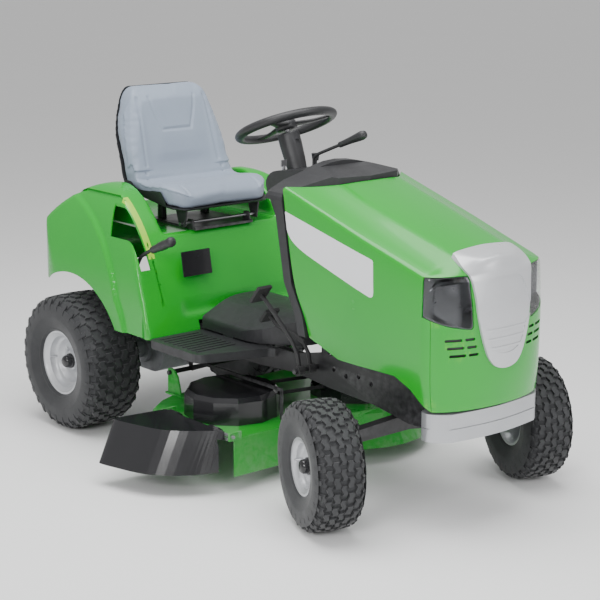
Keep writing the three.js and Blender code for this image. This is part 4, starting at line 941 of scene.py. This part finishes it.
def make_headlight(name, side):
    lens = hood_skin(f"{name}_lamp_glass", 0, 2.4)
    common(lens, lamp_region(side, 0))
    bevel(smooth_by_angle(lens), 0.8)
    finish_piece(lens, "hood_assembly", LENS, "lamp_lens", f"{name}_headlight_lens")

    # The cup gets the darkened reflector chrome, which paints in the dark reflections; the bowls keep the
    # bright chrome.
    cup = hood_skin(f"{name}_lamp_cup", -3.4, 40)
    common(cup, lamp_region(side, -1))
    hollow = hood_skin("hollow", 4, 42)
    common(hollow, lamp_region(side, -4))
    cut(cup, hollow)
    smooth_by_angle(cup)
    finish_piece(cup, "hood_assembly", DARKENED_REFLECTOR_CHROME, "lamp_reflector", f"{name}_headlight_reflector")
    aim = Vector((1, side * 0.35, -0.02)).normalized()
    lamps = []
    for y, z, radius in ((176, 676, 47), (138, 655, 20)):
        base = Vector((1600 - y * 0.32, side * y, z)) - aim * 62
        bowl = []
        for k in range(9):
            r = 8 + (radius - 8) * k / 8
            bowl.append((r, 2 + 40 * (r / radius) ** 2))
        bowl += [(r + 1.2, h - 1.4) for r, h in reversed(bowl)]
        lamps.append(turned("bowl", bowl, base, aim, 48))
    bowls = merge(f"{name}_lamp_bowls", lamps)
    finish_piece(bowls, "hood_assembly", CHROME, "lamp_reflector")
    base = Vector((1600 - 176 * 0.32, side * 176, 676)) - aim * 60
    bulb = rod(f"{name}_bulb", base, base + aim * 30, 7, edge=6)
    finish_piece(bulb, "hood_assembly", WHITE_PANEL, "lamp_lens")


def make_side_panel(name, side):
    panel = hood_skin(f"{name}_side_panel", 1.3, 1.2)
    points = [(936, 852, 6), (1318, 764, 8), (1322, 652, 22), (1150, 702, 90), (992, 750, 70), (945, 790, 30)]
    y0, y1 = sorted((side * 180, side * 300))
    common(panel, prism("panel", points, y0, y1, "y", 10))
    smooth_by_angle(panel)
    finish_piece(panel, "hood_assembly", WHITE_PANEL, "silver_plastic")


make_hood()
make_shield()
for name, side in (("right", -1), ("left", 1)):
    make_headlight(name, side)
    make_side_panel(name, side)


# ------------------------------------------------------------------ rear body
def rear_form(name, t=0.0):
    """The fenders and the front wall as one rounded solid, drawn in by t."""
    side = prism(name, [
        (-240 + t, 476), (-262 + t, 560, 60), (-212 + t, 680, 110), (-95, 770, 110), (40, 838 - t, 130),
        (180, 838 - t, 160),
        (330, 690, 160), (425 - t, 452, 60), (445 - t, 386), (445 - t, 326), (0, 326),
    ], -600, 600, "y", 10)
    y = 400 - t
    front = prism("front", [
        (-y, 300), (-y, 560, 90), (34 - y, 740, 110), (96 - y, 842 - t, 80), (y - 96, 842 - t, 80),
        (y - 34, 740, 110),
        (y, 560, 90), (y, 300),
    ], -400, 600, "x", 8)
    plan = prism("plan", [
        (-262 + t, 130 - y, 80), (-182 + t, -y, 110), (445 - t, -y, 30), (445 - t, y, 30), (-182 + t, y, 110),
        (-262 + t, y - 130, 80),
    ], 200, 1000, "z", 10)
    floor = 690 - t
    dip = prism("dip", [
        (-420, floor + 60), (-200, floor + 40, 60), (-120, floor, 40), (372 - t, floor, 16), (419 - t, 440),
        (465, 440),
        (485, 1200), (-420, 1200),
    ], -238 - t, 238 + t, "y", 6)
    common(side, front, plan)
    return cut(side, dip)


def press_fender(body):
    """Sinks the side walls ahead of the arch, so that a raised band is left round the wheel."""
    for vertex in body.data.vertices:
        spot = (vertex.co - ORIGIN) / MM
        if abs(spot.y) < 320 or spot.x < -80:
            continue
        turn = math.degrees(math.atan2(spot.z - 230, spot.x))
        band = along([(20, 332), (45, 366), (72, 470), (98, 560)], turn)
        depth = 11 * smoothstep(0, 11, math.hypot(spot.x, spot.z - 230) - band)
        depth *= 1 - smoothstep(395, 440, spot.x)
        vertex.co.y -= math.copysign(depth * MM, spot.y)


ARCH_RADIUS = 303  # of the opening round each rear wheel
LIFT_SHAFT = (240, 478)  # x and z of the shaft that the height lever turns on


def lever_arc(near, far, start, end):
    """A band between two radii round the lift shaft, seen from the side."""
    outline = []
    for radius, angles in ((far, range(start, end + 1, 6)), (near, range(end, start - 1, -6))):
        for angle in angles:
            turn = math.radians(angle)
            x, z = LIFT_SHAFT[0] + radius * math.cos(turn), LIFT_SHAFT[1] + radius * math.sin(turn)
            outline.append((x, z))
    return outline


def make_scale_label(body):
    """A thin strip laid on the fender beside the lever's slot."""
    mesh = body.data
    skin = BVHTree.FromPolygons([v.co for v in mesh.vertices], [tuple(p.vertices) for p in mesh.polygons])
    angles = range(52, 97, 4)
    widths = (-324, -318, -312, -306, -300)
    outer, inner = [], []
    for angle in angles:
        turn = math.radians(angle)
        way = Vector((math.cos(turn), 0, math.sin(turn)))
        for y in widths:
            shaft = place(LIFT_SHAFT[0], y, LIFT_SHAFT[1])
            spot, normal = skin.ray_cast(shaft + way * 0.5, -way)[:2]
            outer.append(spot + normal * 0.6 * MM)
            inner.append(spot + normal * 0.1 * MM)
    across, rows = len(widths), len(angles)
    count = across * rows
    faces = grid_faces(rows, across)
    faces += [tuple(count + i for i in reversed(face)) for face in faces]
    rim = list(range(across)) + [across * r + across - 1 for r in range(1, rows)]
    rim += [count - 1 - i for i in range(1, across)] + [across * r for r in range(rows - 2, 0, -1)]
    for a, b in zip(rim, rim[1:] + rim[:1]):
        faces.append((a, b, count + b, count + a))
    label = bpy.data.meshes.new("height_scale")
    label.from_pydata(outer + inner, [], faces)
    obj = bpy.data.objects.new("height_scale", label)
    bpy.context.scene.collection.objects.link(obj)
    fix_normals(obj)
    return obj


def make_rear_body():
    body = rear_form("fender_body")
    remesh(body, 6, 14)
    press_fender(body)
    inner = grown(body, "inside", -4)
    wide = 900
    bore = [(0.01, -wide), (ARCH_RADIUS, -wide), (ARCH_RADIUS, wide), (0.01, wide)]
    arch = turned("arch", bore, (0, 0, REAR["radius"]), (0, 1, 0), 96)
    below = block("below", -500, -100, -900, 900, 0, 488)
    centre = block("centre", -500, 900, -190, 190, 0, 420)
    under = block("under", -500, 700, -900, 900, 0, 385)
    slot = prism("slot", lever_arc(168, 350, 42, 102), -365, -328, "y")
    cut(body, inner, arch, below, centre, under, slot)
    smooth_by_angle(body, 40)
    finish_piece(body, "chassis", GREEN_PANEL, "green_panel", "rear_body")

    finish_piece(make_scale_label(body), "chassis", SCALE_LABEL, "green_panel")

    badge = prism("fender_badge", [(-228, 560, 4), (-112, 560, 4), (-112, 642, 4), (-228, 642, 4)], 0, 2.4,
                  "x")
    tilt = Matrix.Rotation(math.radians(-10), 4, "Y")
    badge.data.transform(Matrix.Translation(-place(0, -170, 600)))
    badge.data.transform(tilt)
    badge.data.transform(Matrix.Translation(place(400, -170, 600)))
    bevel(badge, 1)
    finish_piece(badge, "chassis", BLACK_GLOSS, "black_plastic")


# ------------------------------------------------------------------ seat
def seat_form(name, t=0.0, lift=0.0):
    side = prism(name, [
        (60 + t, 800 + t, 30), (350 - t, 757 + t, 18), (354 - t, 810, 34), (290, 836, 60), (130, 816, 50),
        (96, 862, 50),
        (24, 1136, 34), (-46 + t, 1150 - t, 30), (-40 + t, 1000, 60),
    ], -400, 400, "y", 10)
    y = 212 - t
    front = prism("front", [
        (-y + 10, 750), (-y, 820, 40), (-y + 8, 960, 90), (-y + 62, 1154 - t, 60), (y - 62, 1154 - t, 60),
        (y - 8, 960, 90), (y, 820, 40), (y - 10, 750),
    ], -200, 600, "x", 8)
    plan = prism("plan", [(-200, -y, 10), (360 - t, -y, 120), (360 - t, y, 120), (-200, y, 10)], 600, 1300,
                 "z", 8)
    common(side, front, plan)
    if lift:
        side.data.transform(Matrix.Translation((lift * MM, 0, lift * MM)))
    return side


def near_line(p, q, spot):
    """Distance from a point to the straight line between p and q, all in two dimensions."""
    line = q - p
    t = clamp((spot - p).dot(line) / line.length_squared)
    return (spot - p - line * t).length


BACK_SEAMS = [
    [(-92, 1100), (-84, 1060), (-58, 992), (58, 992), (84, 1060), (92, 1100)],
    [(-150, 880), (-138, 1100)], [(150, 880), (138, 1100)],
]
BASE_SEAMS = [
    [(104, -158), (330, -146)], [(104, 158), (330, 146)],
]


def seam_depth(lines, spot):
    nearest = min(
        near_line(Vector(a), Vector(b), spot) for line in lines for a, b in zip(line, line[1:])
    )
    return 1 - smoothstep(0, 9, nearest)


def make_cushion():
    pad = seat_form("seat_pad", 5)
    cutter = seat_form("lower shell", 0, 7.5)
    common(pad, cutter)
    remesh(pad, 5.5, 6)
    rest = [v.co.copy() for v in pad.data.vertices]
    cloth = pad.modifiers.new("Cloth", "CLOTH")
    settings = cloth.settings
    settings.quality = 5
    settings.mass = 0.4
    settings.tension_stiffness = 25
    settings.compression_stiffness = 25
    settings.bending_stiffness = 4
    settings.use_pressure = True
    settings.uniform_pressure_force = 3
    settings.effector_weights.gravity = 0
    scene = bpy.context.scene
    for step in range(1, 21):
        scene.frame_set(step)
    apply_modifier_named(pad, cloth)
    scene.frame_set(1)
    for vertex, before in zip(pad.data.vertices, rest):
        move = vertex.co - before
        if move.length > 0.007:
            vertex.co = before + move.normalized() * 0.007
    apply_modifier(pad, "SMOOTH", factor=0.5, iterations=10)
    apply_modifier(pad, "SUBSURF", levels=1)
    sew_seams(pad)
    finish_piece(pad, "seat", VINYL, "seat_vinyl", "seat_cushion")


def apply_modifier_named(obj, modifier):
    with bpy.context.temp_override(object=obj, active_object=obj, selected_objects=[obj]):
        bpy.ops.object.modifier_apply(modifier=modifier.name)


def sew_seams(pad):
    """Presses the seat's moulded lines into its face and raises the side bolsters."""
    normals = [vertex.normal.copy() for vertex in pad.data.vertices]
    for vertex, normal in zip(pad.data.vertices, normals):
        spot = (vertex.co - ORIGIN) / MM
        if spot.z > 866 and normal.x > 0.35:
            depth = seam_depth(BACK_SEAMS, Vector((spot.y, spot.z)))
            swell = 5 * smoothstep(118, 165, abs(spot.y)) * (1 - smoothstep(1040, 1110, spot.z))
            panel = 4 * (1 - smoothstep(60, 120, abs(spot.y))) * (1 - smoothstep(960, 1040, spot.z))
            vertex.co += normal * (swell - 3.6 * depth + panel * smoothstep(880, 920, spot.z)) * MM
        elif spot.z < 866 and normal.z > 0.45:
            depth = seam_depth(BASE_SEAMS, Vector((spot.x, spot.y)))
            swell = 4 * smoothstep(120, 165, abs(spot.y)) * smoothstep(100, 150, spot.x)
            vertex.co += normal * (swell - 3.6 * depth) * MM


def make_seat_shell():
    pan = seat_form("seat_pan")
    remesh(pan, 5, 8)
    for vertex in pan.data.vertices:
        height = (vertex.co.z - ORIGIN.z) / MM
        vertex.co.y = ORIGIN.y + (vertex.co.y - ORIGIN.y) * (1 - 0.035 * smoothstep(840, 900, height))
        vertex.co.z -= 5 * MM * smoothstep(1080, 1140, height)
    cutter = seat_form("seat hollow", 0, 6)
    cut(pan, cutter)
    smooth_by_angle(pan, 40)
    brackets = []
    for side in (-1, 1):
        y = side * 150
        plate = prism("bracket", [(260, 776), (286, 701, 6), (314, 701, 6), (326, 766)], y - 3, y + 3, "y")
        bore = turned("bore", [(0.01, -12), (6, -12), (6, 12), (0.01, 12)], (300, y, 713), (0, 1, 0), 24)
        brackets.append(cut(plate, bore))
    pan = merge("seat_pan", [pan] + brackets)
    smooth_by_angle(pan, 40)
    finish_piece(pan, "seat", BLACK_PLASTIC, "black_plastic", "seat_shell")


# ------------------------------------------------------------------ steering wheel and column
WHEEL_CENTRE = Vector((652, 0, 1057))
WHEEL_AXIS = Vector((-math.sin(math.radians(23)), 0, math.cos(math.radians(23))))


def down_column(d):
    return tuple(WHEEL_CENTRE - WHEEL_AXIS * d)


def make_steering_wheel():
    ring = []
    for k in range(20):
        angle = 2 * math.pi * k / 20
        bulge = 14.6 + 0.5 * math.cos(3 * angle)
        ring.append((150 + bulge * math.cos(angle), bulge * 0.95 * math.sin(angle)))
    rim = turned("rim", ring, WHEEL_CENTRE, WHEEL_AXIS, 120)
    hub_profile = [(9.4, -15), (30, -15), (34, -11), (35, 4), (31, 12), (22, 15), (0.01, 16), (0.01, -12),
                   (9.4, -12)]
    hub = turned("hub", hub_profile, WHEEL_CENTRE, WHEEL_AXIS, 64)
    forward = Vector((math.cos(math.radians(23)), 0, math.sin(math.radians(23))))
    left = Vector((0, 1, 0))
    parts = [rim, hub]
    for degrees in (90, 210, 330):
        angle = math.radians(degrees)
        out = left * math.sin(angle) + forward * math.cos(angle)
        if degrees == 90:
            out = forward * -1
        if degrees == 210:
            out = forward * 0.5 + left * 0.866
        if degrees == 330:
            out = forward * 0.5 - left * 0.866
        across = WHEEL_AXIS.cross(out)
        verts = []
        for k in range(13):
            t = k / 12
            spot = WHEEL_CENTRE + out * lerp(24, 147, t) - WHEEL_AXIS * (3 * math.sin(math.pi * t))
            wide = lerp(24, 13, smoothstep(0, 0.6, t)) + 5 * smoothstep(0.8, 1, t)
            deep = lerp(6, 4.5, t)
            for a in range(12):
                turn = 2 * math.pi * a / 12
                reach = across * wide * math.copysign(abs(math.cos(turn)) ** 0.6, math.cos(turn))
                verts.append(tuple(spot + reach + WHEEL_AXIS * deep * math.sin(turn)))
        faces = grid_faces(13, 12, True)
        faces += [tuple(range(12)), tuple(range(13 * 12 - 1, 12 * 12 - 1, -1))]
        parts.append(mesh_object("spoke", verts, faces))
    wheel = merge("steering_wheel_moulding", parts)
    smooth_by_angle(wheel, 50)
    finish_piece(wheel, "steering_column", BLACK_PLASTIC, "black_plastic", "steering_wheel")


def make_column_cover():
    sections = [(26, 33), (30, 35.5), (60, 35.8), (110, 33.5), (149, 30.5)]
    side = Vector((0, 1, 0))
    forward = WHEEL_AXIS.cross(side) * -1
    verts = []
    sides = 8
    for d, radius in sections:
        for k in range(sides):
            for shift in (-0.13, 0.13):
                angle = 2 * math.pi * (k + 0.5) / sides + shift
                spot = Vector(down_column(d)) + (forward * math.cos(angle) + side * math.sin(angle)) * radius
                verts.append(tuple(spot))
    faces = grid_faces(len(sections), 2 * sides, True)
    faces += [tuple(range(2 * sides)), tuple(range(len(verts) - 1, len(verts) - 2 * sides - 1, -1))]
    cover = mesh_object("column_sleeve", verts, faces)
    bore = rod("bore", down_column(0), down_column(200), 12)
    cut(cover, bore)
    window = rod("window", Vector(down_column(60)) + forward * 30, Vector(down_column(60)) + forward * 60,
                 9, segments=4)
    cut(cover, window)
    bevel(smooth_by_angle(cover, 25), 1.5)
    finish_piece(cover, "chassis", BLACK_PLASTIC, "black_plastic", "column_cover")


# ------------------------------------------------------------------ footboards
def make_footboard_ribs():
    """Raised bars across the footboards, for grip."""
    for name, side in (("right", -1), ("left", 1)):
        bars = []
        for k in range(9):
            x = 470 + 24 * k
            y0, y1 = sorted((side * 222, side * 372))
            bars.append(prism("bar", [(x, y0, 3), (x + 9, y0, 3), (x + 9, y1, 3), (x, y1, 3)], 389.6, 392.4,
                              "z", 3))
        ribs = merge(f"{name}_footboard_ribs", bars)
        bevel(smooth_by_angle(ribs), 0.8)
        finish_piece(ribs, "chassis", BLACK_PLASTIC, "black_plastic")


# ------------------------------------------------------------------ levers and pedals
def make_height_lever():
    pivot = Vector((240, -346, 478))
    angle = math.radians(57)
    top = pivot + Vector((186 * math.cos(angle), 0, 186 * math.sin(angle)))
    bar = bent_bar("lever_rod", [pivot, pivot + Vector((50, 0, 78)), top, top + Vector((70, 0, 36))], 6)
    grip_profile = [(0.01, 0), (9, 0), (12, 3), (13, 20), (12.5, 30), (15, 52), (15.5, 74), (14, 92),
                    (16.5, 108),
                    (15, 118), (8, 123), (0.01, 123.5)]
    grip = turned("grip", grip_profile, top + Vector((62, 0, 31)), (114, 0, 47), 32)
    shaft = rod("shaft", (240, -352, 478), (240, 163, 478), 9)
    arms = []
    turn = math.radians(-20)
    for side in (-1, 1):
        y = side * 160
        end = (240 + 88 * math.cos(turn), y, 478 + 88 * math.sin(turn))
        arms.append(rod("arm", (240, y, 478), end, 4))
    lever = merge("height_lever_rod", [bar, grip, shaft] + arms)
    smooth_by_angle(lever, 50)
    finish_piece(lever, "lift_shaft", BLACK_PLASTIC, "black_plastic", "height_lever")


def make_dash_lever():
    x, y, z = 822, -30, 925
    bar = bent_bar("dash_lever_rod", [(x, y, z), (x, y, 975), (x + 22, y, 992), (x + 115, y, 1028),
                                      (x + 130, y, 1034)], 5)
    grip_profile = [(0.01, 0), (7, 0), (9, 2), (9.5, 30), (11, 60), (13.5, 92), (14, 106), (12, 117),
                    (6, 121), (0.01, 121.5)]
    grip = turned("grip", grip_profile, (x + 118, y, 1029), (113, 0, 44), 32)
    axle = rod("axle", (x, -87.7, z), (x, -18, z), 7)
    lever = merge("dash_lever_rod", [bar, grip, axle])
    smooth_by_angle(lever, 50)
    finish_piece(lever, "dash_lever_arm", BLACK_PLASTIC, "black_plastic", "dash_lever")


def make_bumper():
    bumper = copy_of(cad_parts["front_bumper"], "bumper_bar")
    bumper.data.materials.clear()
    apply_modifier(bumper, "WELD", merge_threshold=0.01 * MM)
    outline = [
        (1400, -220), (1500, -220, 10), (1545, -206, 40), (1590, -136, 70), (1590, 136, 70), (1545, 206, 40),
        (1500, 220, 10), (1400, 220),
    ]
    common(bumper, prism("outline", outline, 0, 600, "z", 10))
    bevel(smooth_by_angle(bumper), 1.6)
    finish_piece(bumper, "chassis", BUMPER, "silver_plastic", "front_bumper")


make_bumper()
make_rear_body()
make_seat_shell()
make_cushion()
make_steering_wheel()
make_column_cover()
make_footboard_ribs()
make_height_lever()
make_dash_lever()


# ------------------------------------------------------------------ the rest of the machine
CAD_FINISHES = {
    "chassis_frame": BLACK_STEEL, "front_axle_beam": BLACK_STEEL, "right_spindle": BLACK_STEEL,
    "left_spindle": BLACK_STEEL, "seat_slider": BLACK_STEEL, "deck_hanger": BLACK_STEEL,
    "tie_rod": STEEL, "axle_pivot_bolt": STEEL, "muffler": STEEL, "hood_hinge_pin": STEEL,
    "steering_shaft": STEEL,
    "seat_hinge_rod": STEEL, "deflector_hinge_pin": STEEL, "ignition_key": STEEL,
    "rear_right_axle_shaft": STEEL, "rear_left_axle_shaft": STEEL,
    "right_blade": STEEL, "left_blade": STEEL, "right_blade_spindle": STEEL, "left_blade_spindle": STEEL,
    "transaxle_case": CAST, "engine_block": CAST,
    "engine_shroud": BLACK_PLASTIC, "battery": BLACK_PLASTIC, "footboards": BLACK_PLASTIC,
    "tunnel_cover": BLACK_PLASTIC, "dash_panel": BLACK_PLASTIC, "throttle_lever": BLACK_PLASTIC,
    "fuel_tank": BLACK_PLASTIC, "right_belt_cover": BLACK_GLOSS, "left_belt_cover": BLACK_GLOSS,
    "deflector": BLACK_GLOSS, "drive_pedal": RUBBER, "reverse_pedal": RUBBER, "brake_pedal": RUBBER,
    "deck_belt": RUBBER, "deck_shell": GREEN_STEEL,
}
EDGES = {"dash_panel": 3.0, "tunnel_cover": 3.0, "deck_shell": 1.6, "right_belt_cover": 2.5,
         "left_belt_cover": 2.5, "deflector": 1.6, "footboards": 1.8, "engine_block": 3.0,
         "transaxle_case": 4.0}

for node, material in CAD_FINISHES.items():
    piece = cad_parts[node]
    piece.data.materials.clear()
    piece.data.materials.append(material)
    bevel(piece, EDGES.get(node, 0.8))


# ------------------------------------------------------------------ floor, light and camera
def make_stage():
    floor = bpy.data.meshes.new("studio floor")
    floor.from_pydata([(-30, -30, 0), (30, -30, 0), (30, 30, 0), (-30, 30, 0)], [], [(0, 1, 2, 3)])
    obj = bpy.data.objects.new("studio floor", floor)
    bpy.context.scene.collection.objects.link(obj)
    obj.location.z = -0.0005
    paper = surface("studio paper", (0.94, 0.94, 0.94), (0.92, 0.92, 0.92), (0.8, 0.85), 1.0)
    floor.materials.append(paper)
    world = bpy.data.worlds.new("studio")
    bpy.context.scene.world = world
    world.use_nodes = True
    world.node_tree.nodes["Background"].inputs["Color"].default_value = (1, 1, 1, 1)
    world.node_tree.nodes["Background"].inputs["Strength"].default_value = 0.62


def area_light(name, spot, target, size, power):
    light = bpy.data.lights.new(name, "AREA")
    light.shape = "RECTANGLE"
    light.size, light.size_y = size
    light.energy = power
    obj = bpy.data.objects.new(name, light)
    bpy.context.scene.collection.objects.link(obj)
    obj.location = spot
    obj.rotation_mode = "QUATERNION"
    obj.rotation_quaternion = (Vector(target) - Vector(spot)).to_track_quat("-Z", "Y")


def make_camera():
    yaw, pitch = math.radians(40.1), math.radians(13.2)
    camera = bpy.data.cameras.new("camera")
    camera.lens = 99.6
    camera.sensor_width = 36
    obj = bpy.data.objects.new("camera", camera)
    bpy.context.scene.collection.objects.link(obj)
    obj.location = place(4648.6, -3308.4, 1712.5)
    forward = Vector((-math.cos(yaw) * math.cos(pitch), math.sin(yaw) * math.cos(pitch), -math.sin(pitch)))
    obj.rotation_mode = "QUATERNION"
    obj.rotation_quaternion = forward.to_track_quat("-Z", "Y")
    bpy.context.scene.camera = obj


make_stage()
area_light("overhead softbox", (0.2, -0.3, 3.4), (0, 0, 0.3), (3.2, 2.4), 135)
area_light("side softbox", (2.6, -4.4, 2.6), (0, 0, 0.4), (2.0, 1.4), 120)
area_light("front softbox", (4.5, 0.8, 1.8), (0.2, 0, 0.4), (1.8, 1.8), 60)
make_camera()
